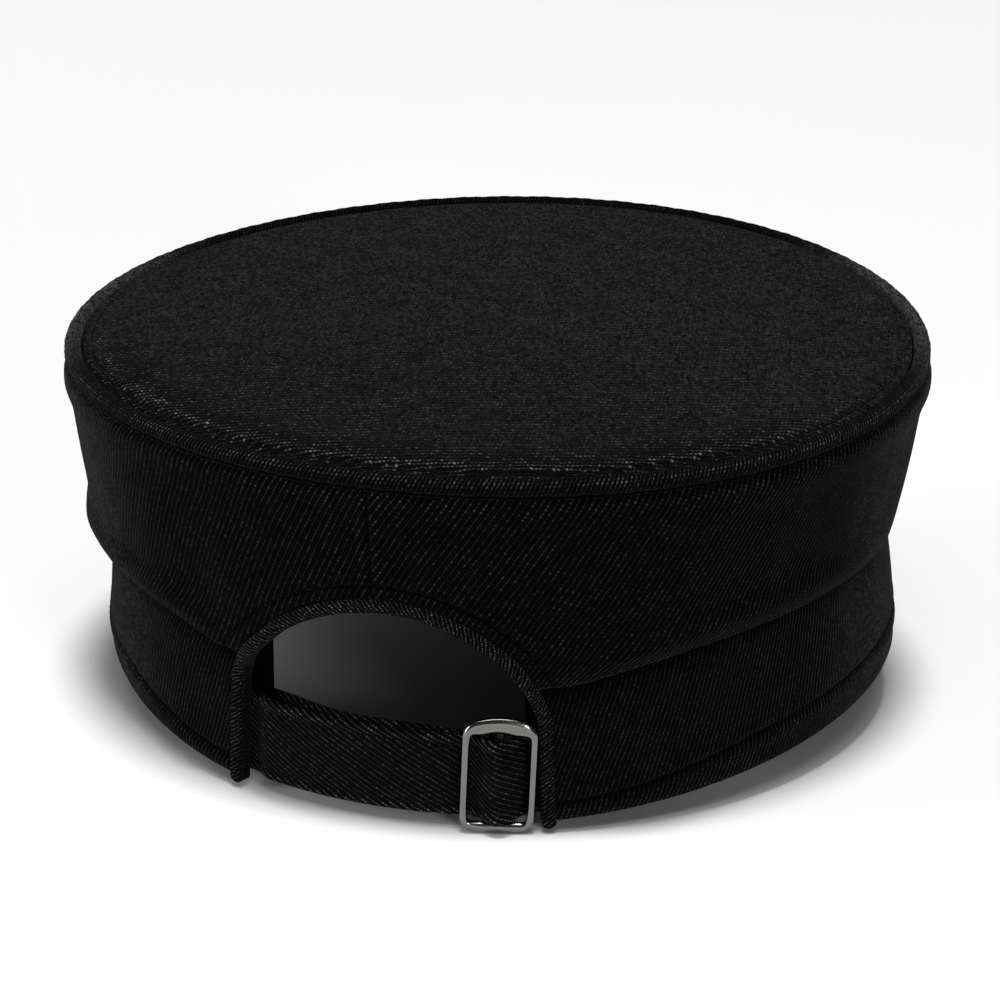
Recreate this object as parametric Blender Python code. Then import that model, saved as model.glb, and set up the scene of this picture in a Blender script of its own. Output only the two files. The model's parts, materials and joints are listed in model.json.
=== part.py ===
"""Baker boy cap of black twill, with an arched back opening, a strap and a metal slider.

The cap is worked out in its own frame: the hem lies near the plane z = 0, the peak points to -Y and the
back opening faces +Y. Angles run round the cap in degrees from the centre back, positive towards +X.
Lengths are in millimetres until a mesh is made. At the end the cap is tipped on to its resting points.
"""
import math

import bmesh
import bpy
import numpy as np
from mathutils import Matrix

MM = 0.001

# Hem oval
HEM_HALF_WIDTH = 96.0
HEM_HALF_LENGTH = 97.0
HEM_EGG = -0.042
HEM_SKEW = -0.020
HEM_WAVE = 3.3
HEM_DROP = 1.0

# Rim oval of the crown
RIM_SPREAD_SIDE = 5.1
RIM_SPREAD_FRONT = 4.6
RIM_HEIGHT = 76.1
RIM_EGG = 0.005
RIM_SKEW = 0.008
RIM_SHIFT_X = 0.7
RIM_SHIFT_Y = 0.3
RIM_WAVE = 0.7
RIM_TWIST = 0.5
RIM_LEAN = 0.55
RIM_FRONT_RISE = 0.3

# Fold where the crown hangs over the band: shares of the rim height and of the overhang, by angle
FOLD_OVERHANG = 3.4
FOLD_ROLL = 1.5
FOLD_SEAM_IN = 1.4
FOLD_FADE = 0.05
CUT_EDGE = 0.35
FOLD_TABLE = {
    "angle_deg": (-180, -130, -105, -90, -75, -60, -45, -35, -25, 0, 25, 32, 45, 60, 75, 95, 130),
    "height": (
        0.441, 0.461, 0.471, 0.471, 0.473, 0.479, 0.472, 0.446, 0.404, 0.392, 0.392, 0.422, 0.425, 0.412, 0.402,
        0.402, 0.422,
    ),
    "overhang": (
        0.50, 0.10, -0.40, -0.45, -0.20, 0.35, 0.85, 1.00, 1.00, 1.00, 1.00, 1.00, 0.90, 0.80, 0.70, 0.66, 0.60,
    ),
}
CROWN_BELLY_BACK = 1.0
CROWN_BELLY_SIDE = 0.7

# Cloth walls and clearances
CROWN_WALL = 2.0
BAND_WALL = 2.4
BAND_BELLY = 0.7
BAND_LEAN = 2.8
BAND_LEAN_SKEW = 0.55
LINING_WALL = 1.0
TOP_WALL = 2.0
GAP = 0.35
SEWN_GAP = 0.45

# Lining: its edge on the binding, where its wall leaves the fold, its upper corner and its ceiling
LINING_EDGE_SHARE = 0.3
LINING_LEAVES_FOLD = (0.02, 0.3)
LINING_CORNER_IN = 1.5
LINING_CORNER_MITRE = 0.3
LINING_CEILING_RINGS = (0.1, 0.55)

# Corded seam round the rim
PIPING_RADIUS = 2.05
PIPING_OUT = 1.5
PIPING_RESOLUTION = 2

# Top panel: rise of its shoulder and of its middle above the seam groove, and its flat middle
TOP_EDGE_DROP = 1.1
TOP_SHOULDER_RISE = 0.9
TOP_SHOULDER_WIDTH = 5.0
TOP_DOME_RISE = 1.8
TOP_FLAT_RADIUS = 14.0
TOP_SHOULDER_RINGS = (0.35, 1.0)
TOP_RINGS = (0.28, 0.58)

# Back opening
ARCH_HALF_ANGLE = 22.0
ARCH_SHIFT = 0.4
ARCH_LEAN = -1.5
ARCH_LEAN_BY = 0.6
ARCH_SPRING_HEIGHT = 21.3
ARCH_RISE = 26.6
ARCH_FULLNESS = (1.5, 1.12)
ARCH_LEG_SPREAD = 0.6
ARCH_LEG_RUN = 1.5
BINDING_WIDTH = 3.2
BINDING_PROUD = 0.8
BINDING_LAP = 0.5
BINDING_DROP = 1.9

# Sweatband
SWEATBAND_WALL = 1.2
SWEATBAND_HEM_GAP = 2.0
SWEATBAND_LAP = 4.0
SWEATBAND_HALF_ANGLE = 20.0
SWEATBAND_END_REACH = (30.0, 45.0)

# Strap and slider
STRAP_WIDTH = 20.0
STRAP_THICKNESS = 1.8
STRAP_BOTTOM = -2.6
STRAP_INSET = 1.65
STRAP_BULGE = 4.6
STRAP_END_ANGLE = 27.0
STRAP_TUCK = (3.5, 0.4)
TAIL_THICKNESS = 1.5
TAIL_SPACE = 1.9
TAIL_END_ANGLE = 26.0
TAIL_LEAVES_STRAP = (5.0, 12.0)
TAIL_TUCK_ANGLE = 8.0
TAIL_TUCK_MARGIN = 1.5
SLIDER_ANGLE = -16.2
SLIDER_WIDTH = 16.8
SLIDER_SIDE_BAR = 1.8
SLIDER_TOP_BAR = 2.4
SLIDER_BOTTOM_BAR = 1.8
SLIDER_SLOT_PLAY = 0.6
SLIDER_TOP_CROWN = 1.9
SLIDER_BOTTOM_CROWN = 1.0
SLIDER_CORNER = 3.0
SLIDER_THICKNESS = 2.0
SLIDER_EDGE = 0.35
SLIDER_PIN_RADIUS = 0.9

# Peak
PEAK_HALF_ANGLE = 58.0
PEAK_WIDTH = 45.0
PEAK_THICKNESS = 2.8
PEAK_SLOPE_DEG = 14.3
PEAK_TUCK = 1.6
PEAK_END_WIDTH = 3.0
PEAK_FULLNESS = 2.0
PEAK_ROUNDING = 1.1

# How finely the pieces are cut
RIM_COLUMNS = 72
RING_COLUMNS = 48
ARCH_COLUMNS = 20
BAND_COLUMNS = 56
SWEATBAND_COLUMNS = 48
PEAK_COLUMNS = 36
EDGE_SAMPLES = 120
LEG_SAMPLES = 40


def around(column, angle_deg):
    """Value of a fold-table column at any angle, by a smooth periodic curve through its rows."""
    knots = np.array(FOLD_TABLE["angle_deg"], dtype=float)
    values = np.array(FOLD_TABLE[column], dtype=float)
    knots = np.concatenate([knots[-2:] - 360.0, knots, knots[:3] + 360.0])
    values = np.concatenate([values[-2:], values, values[:3]])
    angle = (np.asarray(angle_deg, dtype=float) + 180.0) % 360.0 - 180.0
    row = np.clip(np.searchsorted(knots, angle, side="right") - 1, 1, len(knots) - 3)
    width = knots[row + 1] - knots[row]
    share = (angle - knots[row]) / width
    slope_low = (values[row + 1] - values[row - 1]) / (knots[row + 1] - knots[row - 1]) * width
    slope_high = (values[row + 2] - values[row]) / (knots[row + 2] - knots[row]) * width
    square = share * share
    cube = square * share
    low = (2 * cube - 3 * square + 1) * values[row] + (cube - 2 * square + share) * slope_low
    high = (3 * square - 2 * cube) * values[row + 1] + (cube - square) * slope_high
    return low + high


def ease(value, low, high):
    """Smooth step from 0 at low to 1 at high."""
    share = np.clip((np.asarray(value, dtype=float) - low) / (high - low), 0.0, 1.0)
    return share * share * (3.0 - 2.0 * share)


def stack(x, y, z):
    """Points from three coordinates of one shape."""
    return np.stack(np.broadcast_arrays(x, y, z), axis=-1)


def hem_height(angle_deg):
    """Height of the hem: low at the back and front, raised at the sides."""
    return -HEM_WAVE * np.cos(2 * np.radians(angle_deg)) - HEM_DROP


def hem_ring(angle_deg, height, out):
    """Point on the hem oval, moved out by a distance and set at a height."""
    t = np.radians(angle_deg)
    x = (HEM_HALF_WIDTH + out) * np.sin(t) * (1 + HEM_EGG * np.cos(t))
    y = (HEM_HALF_LENGTH + out) * np.cos(t) * (1 + HEM_SKEW * np.sin(t))
    return stack(x, y, height)


def rim_ring(angle_deg, rise, out):
    """Point on the rim oval, moved out by a distance and raised above the rim's stitch line."""
    t = np.radians(angle_deg)
    x = (HEM_HALF_WIDTH + RIM_SPREAD_SIDE + out) * np.sin(t) * (1 + RIM_EGG * np.cos(t)) + RIM_SHIFT_X
    y = (HEM_HALF_LENGTH + RIM_SPREAD_FRONT + out) * np.cos(t) * (1 + RIM_SKEW * np.sin(t)) + RIM_SHIFT_Y
    wave = RIM_WAVE * np.cos(2 * t) + RIM_TWIST * np.sin(2 * t)
    wave = wave - RIM_LEAN * np.sin(t) + RIM_FRONT_RISE * (0.5 - 0.5 * np.cos(t)) ** 2
    return stack(x, y, RIM_HEIGHT + wave + rise)


def fold_height(angle_deg):
    """Height of the lowest line of the crown's fold."""
    return RIM_HEIGHT * around("height", angle_deg)


def fold_overhang(angle_deg):
    """How far the fold of the crown stands out from the hem oval."""
    return FOLD_OVERHANG * around("overhang", angle_deg)


def crown_wall(angle_deg, share, inset):
    """Crown side: straight from the fold ring to the rim ring with a slight belly, inset from outside."""
    side = np.sin(np.radians(angle_deg)) ** 2
    belly = CROWN_BELLY_BACK + (CROWN_BELLY_SIDE - CROWN_BELLY_BACK) * side
    belly = belly * np.sqrt(np.sin(math.pi * np.clip(share, 0.0, 1.0)))
    low = hem_ring(angle_deg, fold_height(angle_deg), fold_overhang(angle_deg) + belly - inset)
    high = rim_ring(angle_deg, 0.0, belly - inset)
    share = np.asarray(share, dtype=float)[..., None]
    return low * (1 - share) + high * share


def crown_share(angle_deg, height):
    """Share of the way from fold to rim at which the crown side has a height."""
    low = fold_height(angle_deg)
    high = rim_ring(angle_deg, 0.0, 0.0)[..., 2]
    return (height - low) / (high - low)


def opening_edge(margin):
    """Edge of the back opening moved out by a margin: angles, falling, and heights from leg to leg."""
    per_degree = math.radians(1.0) * HEM_HALF_WIDTH
    turn = np.linspace(0.0, math.pi, EDGE_SAMPLES + 1)
    fullness = np.where(turn < 0.5 * math.pi, *ARCH_FULLNESS)
    bow = np.sin(turn) ** (2.0 / fullness)
    lean = ARCH_SHIFT + (ARCH_LEAN - ARCH_SHIFT) * ease(bow, 0.0, ARCH_LEAN_BY)
    arch = ARCH_HALF_ANGLE * np.cos(turn) + lean
    fall = np.linspace(ARCH_LEG_RUN, 0.0, LEG_SAMPLES + 1)[:-1]
    leg = ARCH_HALF_ANGLE + ARCH_LEG_SPREAD * fall
    leg_height = ARCH_SPRING_HEIGHT * (1 - fall)
    angles = np.concatenate([leg + ARCH_SHIFT, arch, ARCH_SHIFT - leg[::-1]])
    heights = np.concatenate([leg_height, ARCH_SPRING_HEIGHT + ARCH_RISE * bow, leg_height[::-1]])
    line = np.stack([angles * per_degree, heights], axis=-1)
    length = np.concatenate([[0.0], np.cumsum(np.linalg.norm(np.diff(line, axis=0), axis=-1))])
    along = unit(np.gradient(line, length, axis=0))
    line = line + margin * np.stack([along[:, 1], -along[:, 0]], axis=-1)
    return line[:, 0] / per_degree, line[:, 1]


def edge_angle(height, margin, side):
    """Angle of the opening's edge at a height, on the side towards +X (1) or -X (-1)."""
    angles, heights = opening_edge(margin)
    top = int(np.argmax(heights))
    if side > 0:
        return np.interp(height, heights[:top], angles[:top])
    return np.interp(height, heights[:top:-1], angles[:top:-1])


def arch_height(angle_deg, margin):
    """Height of the opening's edge over an angle; far below the hem beyond its legs."""
    angles, heights = opening_edge(margin)
    return np.interp(angle_deg, angles[::-1], heights[::-1], left=-RIM_HEIGHT, right=-RIM_HEIGHT)


def ring_angles(margin):
    """Angles of the crown's columns: close together where the arch is steep, even elsewhere."""
    left = float(edge_angle(0.0, margin, 1))
    right = float(edge_angle(0.0, margin, -1))
    sweep = np.sin(np.linspace(-math.pi / 2, math.pi / 2, ARCH_COLUMNS + 1))
    inner = 0.5 * (left + right) + 0.5 * (left - right) * sweep
    outer = np.linspace(left, right + 360.0, RING_COLUMNS + 1)[1:-1]
    return np.concatenate([inner, outer])


def unit(vectors):
    """Vectors of length one."""
    return vectors / np.linalg.norm(vectors, axis=-1, keepdims=True)


def material(name, colour, roughness, metallic):
    """Principled material of one colour, made once."""
    if name in bpy.data.materials:
        return bpy.data.materials[name]
    made = bpy.data.materials.new(name)
    made.use_nodes = True
    shader = made.node_tree.nodes["Principled BSDF"]
    shader.inputs["Base Color"].default_value = (*colour, 1.0)
    shader.inputs["Roughness"].default_value = roughness
    shader.inputs["Metallic"].default_value = metallic
    return made


def twill():
    """Black cotton twill."""
    return material("black_twill", (0.0065, 0.0066, 0.0075), 0.88, 0.0)


def satin():
    """Black satin of the lining and the sweatband."""
    return material("black_satin", (0.012, 0.0115, 0.011), 0.34, 0.0)


def dark_metal():
    """Dark nickel plating of the slider."""
    return material("dark_nickel", (0.32, 0.31, 0.30), 0.22, 1.0)


def finish(bm, name, finish_material):
    """Turn a closed bmesh into a named object with outward faces, smooth apart from sharp edges."""
    bmesh.ops.recalc_face_normals(bm, faces=bm.faces)
    mesh = bpy.data.meshes.new(name)
    bm.to_mesh(mesh)
    bm.free()
    mesh.materials.append(finish_material)
    mesh.shade_smooth()
    mesh.set_sharp_from_angle(angle=math.radians(40.0))
    piece = bpy.data.objects.new(name, mesh)
    bpy.context.scene.collection.objects.link(piece)
    return piece


def end_strip(bm, row):
    """Close one end of a lofted solid with a strip of faces from side to side."""
    last = len(row) - 1
    for point in range(last // 2):
        corners = (row[point], row[point + 1], row[last - point - 1], row[last - point])
        bm.faces.new(tuple(dict.fromkeys(corners)))


def lofted(name, sections, finish_material, closed):
    """Solid through closed section loops: an array of sections by points by three coordinates."""
    sections = np.asarray(sections, dtype=float) * MM
    count, size = sections.shape[:2]
    bm = bmesh.new()
    rows = [[bm.verts.new(point) for point in section] for section in sections.tolist()]
    spans = count if closed else count - 1
    for first in range(spans):
        here = rows[first]
        there = rows[(first + 1) % count]
        for point in range(size):
            after = (point + 1) % size
            bm.faces.new((here[point], here[after], there[after], there[point]))
    if not closed:
        end_strip(bm, rows[0])
        end_strip(bm, rows[-1])
    return finish(bm, name, finish_material)


def two_skins(name, outer, inner, finish_material):
    """Closed plate or cup: two stacks of rings that start at one shared edge and end in a middle point."""
    bm = bmesh.new()
    stacks = []
    for skin in (outer, inner):
        rows = [[bm.verts.new(point) for point in (ring * MM).tolist()] for ring in skin]
        for here, there in zip(rows, rows[1:]):
            for point in range(len(here)):
                after = (point + 1) % len(here)
                bm.faces.new((here[point], here[after], there[after], there[point]))
        centre = np.mean(skin[-1], axis=0) * MM
        middle = bm.verts.new(centre.tolist())
        for point in range(len(rows[-1])):
            bm.faces.new((rows[-1][point], rows[-1][(point + 1) % len(rows[-1])], middle))
        stacks.append(rows[0])
    for point in range(len(stacks[0])):
        after = (point + 1) % len(stacks[0])
        bm.faces.new((stacks[0][point], stacks[0][after], stacks[1][after], stacks[1][point]))
    return finish(bm, name, finish_material)


def piping_centre(angle_deg, rise, out):
    """Point set off from the middle of the corded rim seam."""
    return rim_ring(angle_deg, PIPING_RADIUS - GAP + rise, PIPING_OUT - PIPING_RADIUS + out)


def top_reach():
    """Distance from the edge of the top panel to its middle."""
    return HEM_HALF_WIDTH + RIM_SPREAD_SIDE + PIPING_OUT - 2 * PIPING_RADIUS - GAP


def panel_ring(angles, inward, drop):
    """Ring of the top panel at a distance in from its edge, level towards its flat middle."""
    edge = piping_centre(angles, PIPING_RADIUS - TOP_EDGE_DROP, -PIPING_RADIUS - GAP)
    middle = np.array([RIM_SHIFT_X, RIM_SHIFT_Y, RIM_HEIGHT + 2 * PIPING_RADIUS - GAP - TOP_EDGE_DROP])
    share = inward / top_reach()
    ring = edge + (middle - edge) * share
    flat_share = 1 - TOP_FLAT_RADIUS / top_reach()
    ring[:, 2] += (middle[2] - ring[:, 2]) * ease(share, 0.0, flat_share)
    shoulder = TOP_SHOULDER_RISE * math.sin(0.5 * math.pi * min(inward / TOP_SHOULDER_WIDTH, 1.0))
    dome = TOP_DOME_RISE * math.sin(0.5 * math.pi * min(share / flat_share, 1.0))
    ring[:, 2] += shoulder + dome - drop
    return ring


def make_top():
    """Slightly domed top panel with a flat middle."""
    angles = np.linspace(0.0, 360.0, RIM_COLUMNS, endpoint=False)
    reach = top_reach()
    shoulder = [share * TOP_SHOULDER_WIDTH for share in TOP_SHOULDER_RINGS]
    field = [share * reach for share in TOP_RINGS]
    steps = (0.0, *shoulder, *field, reach - TOP_FLAT_RADIUS)
    upper = [panel_ring(angles, step, 0.0) for step in steps]
    lower = [panel_ring(angles, step, TOP_WALL) for step in (steps[0], *steps[2:])]
    return two_skins("crown_top", upper, lower, twill())


def make_piping():
    """Corded seam all round the rim: a closed tube."""
    path = piping_centre(np.linspace(0.0, 360.0, RIM_COLUMNS, endpoint=False), 0.0, 0.0) * MM
    curve = bpy.data.curves.new("crown_piping", "CURVE")
    curve.dimensions = "3D"
    curve.bevel_depth = PIPING_RADIUS * MM
    curve.bevel_resolution = PIPING_RESOLUTION
    spline = curve.splines.new("POLY")
    spline.points.add(len(path) - 1)
    for point, place in zip(spline.points, path.tolist()):
        point.co = (*place, 1.0)
    spline.use_cyclic_u = True
    curve.materials.append(twill())
    piece = bpy.data.objects.new("crown_piping", curve)
    bpy.context.scene.collection.objects.link(piece)
    return piece


def crown_top_share():
    """Share of the crown side at which its wall ends under the corded seam."""
    return 1.0 - 2 * GAP / (RIM_HEIGHT * (1 - max(FOLD_TABLE["height"])))


def band_lean(angle_deg):
    """How far the top of the band leans in from the hem oval: most at the sides."""
    t = np.radians(angle_deg)
    return BAND_LEAN * np.sin(t) ** 2 * (1 - BAND_LEAN_SKEW * np.sin(t))


def fold_seam(angle_deg):
    """How far inside the hem oval the crown's folded edge meets the top of the band."""
    return FOLD_SEAM_IN + band_lean(angle_deg)


def make_crown_side():
    """Flared side of the crown, rolled under at the fold and cut by the arch."""
    margin = BINDING_WIDTH + SEWN_GAP
    angles = ring_angles(margin)
    cut = np.clip(crown_share(angles, arch_height(angles, margin)), 0.0, 1.0)
    folded = 1.0 - ease(cut, 0.0, FOLD_FADE)
    roll = CUT_EDGE + (FOLD_ROLL - CUT_EDGE) * folded
    top = crown_top_share()
    rolled = cut + crown_share(angles, fold_height(angles) + roll)
    loops = []
    for step in (1.0, 0.75, 0.5, 0.25, 0.0):
        loops.append(crown_wall(angles, rolled + (top - rolled) * step, 0.0))
    for out, up in ((0.3, 0.3), (1.0, 0.0)):
        loops.append(crown_wall(angles, cut + (rolled - cut) * up, roll * out))
    seam = np.maximum(fold_overhang(angles) + fold_seam(angles), CROWN_WALL) - CROWN_WALL
    for step in (0.0, 0.2, 0.6, 1.0):
        inset = CROWN_WALL + seam * folded * (1 - ease(step, 0.0, 0.2))
        loops.append(crown_wall(angles, cut + (top - cut) * step, inset))
    return lofted("crown_side", np.stack(loops, axis=1), twill(), closed=True)


def band_angles(left, right, columns):
    """Angles from the left edge of the back opening round the front to its right edge."""
    along = np.linspace(0.0, 1.0, columns + 1)
    return left + along * (360.0 + right - left)


def band_row(share, margin, columns):
    """Angles and heights of one row of the band, at a share of the way from hem to fold."""
    height = np.full(columns + 1, ARCH_SPRING_HEIGHT * share)
    for _ in range(5):
        left = edge_angle(height, margin, 1)
        right = edge_angle(height, margin, -1)
        angles = band_angles(left, right, columns)
        low = hem_height(angles)
        height = low + (fold_height(angles) - SEWN_GAP - low) * share
    return angles, height


def make_headband():
    """Lower band from one arch leg round the front to the other."""
    margin = BINDING_WIDTH + SEWN_GAP
    outer = (
        (0.0, CUT_EDGE), (0.03, 0.0), (0.3, -0.7 * BAND_BELLY), (0.6, -BAND_BELLY), (0.74, -0.75 * BAND_BELLY),
        (0.87, -0.4 * BAND_BELLY), (0.97, 0.0), (1.0, CUT_EDGE),
    )
    profile = (*outer, *((share, BAND_WALL) for share, _ in reversed(outer)))
    loops = []
    for share, inset in profile:
        angles, height = band_row(share, margin, BAND_COLUMNS)
        loops.append(hem_ring(angles, height, -inset - band_lean(angles) * share))
    return lofted("headband", np.stack(loops, axis=1), twill(), closed=False)


def shell_out(angle_deg, height):
    """How far the cap's outer cloth stands out from the hem oval, across band and crown."""
    share = np.clip(crown_share(angle_deg, height), 0.0, 1.0)
    wall = crown_wall(angle_deg, share, 0.0)
    base = hem_ring(angle_deg, 0.0, 0.0)
    crown = np.hypot(wall[..., 0], wall[..., 1]) - np.hypot(base[..., 0], base[..., 1])
    return crown * ease(height - fold_height(angle_deg), -2 * FOLD_OVERHANG, FOLD_OVERHANG)


def binding_path():
    """Middle line of the binding, up one leg, over the arch and down the other, as angles and heights."""
    angles, heights = opening_edge(0.5 * BINDING_WIDTH)
    foot = float(hem_height(ARCH_HALF_ANGLE)) - BINDING_DROP
    leg = np.linspace(foot, ARCH_SPRING_HEIGHT, 6)[:-1]
    turn = np.linspace(0.0, 1.0, 31)
    over = heights >= ARCH_SPRING_HEIGHT
    length = np.concatenate([[0.0], np.cumsum(np.hypot(np.diff(angles[over]), np.diff(heights[over])))])
    arch = [np.interp(turn * length[-1], length, column[over]) for column in (angles, heights)]
    legs = [edge_angle(leg, 0.5 * BINDING_WIDTH, side) for side in (1, -1)]
    return np.concatenate([legs[0], arch[0], legs[1][::-1]]), np.concatenate([leg, arch[1], leg[::-1]])


def binding_depth():
    """How far the binding reaches inside the outer cloth."""
    return max(CROWN_WALL, BAND_WALL) + BINDING_LAP


def outward(angle_deg):
    """Level direction out from the hem oval."""
    ahead = hem_ring(np.asarray(angle_deg) + 0.5, 0.0, 0.0) - hem_ring(np.asarray(angle_deg) - 0.5, 0.0, 0.0)
    return unit(np.cross((0.0, 0.0, 1.0), ahead))


def swept(name, middle, normal, profile, finish_material):
    """Solid of one profile carried along a path: pairs of a distance across and a distance out."""
    along = unit(np.gradient(middle, axis=0))
    across = unit(np.cross(along, normal))
    normal = np.cross(across, along)
    loops = [middle + across * side + normal * out for side, out in profile]
    return lofted(name, np.stack(loops, axis=1), finish_material, closed=False)


def make_binding():
    """Rounded strip of cloth round the edge of the back opening."""
    angles, heights = binding_path()
    middle = hem_ring(angles, heights, shell_out(angles, heights))
    half = 0.5 * BINDING_WIDTH
    shoulder = 0.7 * BINDING_PROUD
    profile = (
        (-half, -binding_depth()), (-half, 0.0), (-0.7 * half, shoulder), (0.0, BINDING_PROUD),
        (0.7 * half, shoulder), (half, 0.0), (half, -binding_depth()),
    )
    return swept("arch_binding", middle, outward(angles), profile, twill())


def lining_close():
    """Inset of the lining from the crown's outer face where it clears the binding."""
    return binding_depth() + SEWN_GAP


def lining_foot(angle_deg):
    """How far inside the hem oval the lining's lower edge lies."""
    return np.maximum(fold_seam(angle_deg) + SEWN_GAP, lining_close() - fold_overhang(angle_deg))


def make_lining():
    """Satin cup inside the crown: wall, rounded upper corner and ceiling, open below."""
    margin = LINING_EDGE_SHARE * BINDING_WIDTH
    angles = ring_angles(margin)
    cut = np.clip(crown_share(angles, arch_height(angles, margin)), 0.0, 1.0)
    cut = np.maximum(cut, crown_share(angles, fold_height(angles) + GAP))
    top = crown_top_share() - 2 * GAP / RIM_HEIGHT
    close = lining_close()
    foot = fold_overhang(angles) + lining_foot(angles)
    skins = []
    for wall in (0.0, LINING_WALL):
        rings = []
        for step in (0.0, 0.3, 0.65, 1.0):
            share = cut + (top - cut) * step
            inset = close + (foot - close) * (1 - ease(share, *LINING_LEAVES_FOLD))
            rings.append(crown_wall(angles, share, inset + wall))
        corner = LINING_CORNER_IN + LINING_CORNER_MITRE * wall
        ceiling = [share * top_reach() for share in LINING_CEILING_RINGS]
        for step in (corner, *ceiling, top_reach() - TOP_FLAT_RADIUS):
            rings.append(panel_ring(angles, step, TOP_WALL + SEWN_GAP + wall))
        skins.append(rings)
    return two_skins("lining", skins[0], skins[1], satin())


def strap_offset(angle_deg):
    """Distance of the strap's front face inside the hem oval: close under the arch, deeper behind its legs."""
    tucked = binding_depth() + GAP
    start, end = (ARCH_HALF_ANGLE - before for before in STRAP_TUCK)
    return STRAP_INSET + (tucked - STRAP_INSET) * ease(np.abs(angle_deg), start, end)


def slider_arc(angle_deg):
    """Distance along the strap from the middle of the slider."""
    per_degree = math.radians(1.0) * 0.5 * (HEM_HALF_WIDTH + HEM_HALF_LENGTH)
    return (np.asarray(angle_deg, dtype=float) - SLIDER_ANGLE) * per_degree


def slider_window():
    """Width and height of the slider's window."""
    return SLIDER_WIDTH - 2 * SLIDER_SIDE_BAR, STRAP_WIDTH + 2 * SLIDER_SLOT_PLAY


def strap_bulge(angle_deg):
    """How far the strap stands out where it passes over the slider's middle pin."""
    half = 0.5 * slider_window()[0]
    share = np.clip(slider_arc(angle_deg) / half, -1.0, 1.0)
    return STRAP_BULGE * 0.5 * (1 + np.cos(math.pi * share))


def ribbon_profile(width, thickness):
    """Profile of a flat strap with softened edges, as distances across and out."""
    half = 0.5 * width
    deep = 0.5 * thickness
    soft = 0.3 * thickness
    return (
        (-half, -deep + soft), (-half, deep - soft), (-half + soft, deep), (half - soft, deep),
        (half, deep - soft), (half, -deep + soft), (half - soft, -deep), (-half + soft, -deep),
    )


def strap_middle_height():
    """Height of the middle line of the strap."""
    return STRAP_BOTTOM + 0.5 * STRAP_WIDTH


def make_strap():
    """Front run of the strap: from leg to leg of the arch, through the slider and over its pin."""
    half = math.degrees(0.5 * slider_window()[0] / HEM_HALF_WIDTH)
    left = np.linspace(STRAP_END_ANGLE, SLIDER_ANGLE + half, 17)
    bulge = np.linspace(SLIDER_ANGLE + half, SLIDER_ANGLE - half, 17)
    right = np.linspace(SLIDER_ANGLE - half, -STRAP_END_ANGLE, 7)
    angles = np.concatenate([left, bulge[1:-1], right])
    out = strap_bulge(angles) - strap_offset(angles) - 0.5 * STRAP_THICKNESS
    middle = hem_ring(angles, strap_middle_height(), out)
    return swept("back_strap", middle, outward(angles), ribbon_profile(STRAP_WIDTH, STRAP_THICKNESS), twill())


def sweatband_end_inset():
    """Distance of the sweatband's outer face inside the hem oval behind the arch legs."""
    return binding_depth() + GAP + STRAP_THICKNESS + SEWN_GAP


def make_tail():
    """Run of the strap that comes back behind the front run and is tucked inside the sweatband."""
    start = SLIDER_ANGLE + math.degrees(SLIDER_PIN_RADIUS / HEM_HALF_WIDTH)
    angles = np.linspace(TAIL_END_ANGLE, start, 25)
    front = STRAP_INSET + STRAP_THICKNESS
    sewn = front + GAP
    free = front + TAIL_SPACE
    tucked = sweatband_end_inset() + SWEATBAND_WALL + GAP
    inset = sewn + (free - sewn) * ease(angles - SLIDER_ANGLE, *TAIL_LEAVES_STRAP)
    inset = inset + (tucked - free) * ease(angles, TAIL_TUCK_ANGLE, SWEATBAND_HALF_ANGLE - TAIL_TUCK_MARGIN)
    middle = hem_ring(angles, strap_middle_height(), -inset - 0.5 * TAIL_THICKNESS)
    return swept("strap_tail", middle, outward(angles), ribbon_profile(STRAP_WIDTH, TAIL_THICKNESS), twill())


def make_sweatband():
    """Band inside the headband, whose two ends show inside the arch."""
    angles = band_angles(SWEATBAND_HALF_ANGLE, -SWEATBAND_HALF_ANGLE, SWEATBAND_COLUMNS)
    turn = np.abs((angles + 180.0) % 360.0 - 180.0)
    at_hem = BAND_WALL + SEWN_GAP
    at_top = lining_foot(angles) + LINING_WALL + SEWN_GAP
    at_end = 1 - ease(turn, *SWEATBAND_END_REACH)
    low = hem_height(angles) + SWEATBAND_HEM_GAP
    high = fold_height(angles) + SWEATBAND_LAP
    loops = []
    for share, deep in ((0.0, 0.0), (0.5, 0.0), (1.0, 0.0), (1.0, 1.0), (0.5, 1.0), (0.0, 1.0)):
        plain = at_hem + (at_top - at_hem) * share
        inset = plain + (sweatband_end_inset() - plain) * at_end + SWEATBAND_WALL * deep
        loops.append(hem_ring(angles, low + (high - low) * share, -inset))
    return lofted("inner_band", np.stack(loops, axis=1), satin(), closed=False)


def slider_outline(width, height, corner, crowns, lift):
    """Outline of a lifted rounded rectangle whose upper and lower edges are crowned, anticlockwise."""
    points = []
    half_width = 0.5 * width
    half_height = 0.5 * height
    for turn, (side_x, side_y) in enumerate(((1, 1), (-1, 1), (-1, -1), (1, -1))):
        for step in np.linspace(0.0, 0.5 * math.pi, 5):
            angle = 0.5 * math.pi * turn + step
            x = side_x * (half_width - corner) + corner * math.cos(angle)
            y = side_y * (half_height - corner) + corner * math.sin(angle)
            points.append((x, y))
        if turn in (0, 2):
            for share in (0.6, 0.2, -0.2, -0.6):
                x = side_x * share * (half_width - corner)
                points.append((x, side_y * half_height))
    bowed = []
    for x, y in points:
        crown = crowns[0] if y > 0 else -crowns[1]
        rise = crown * (1 - (x / half_width) ** 2)
        bowed.append((x, y + rise * min(abs(y) / half_height, 1.0) ** 3 + lift))
    return bowed


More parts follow.
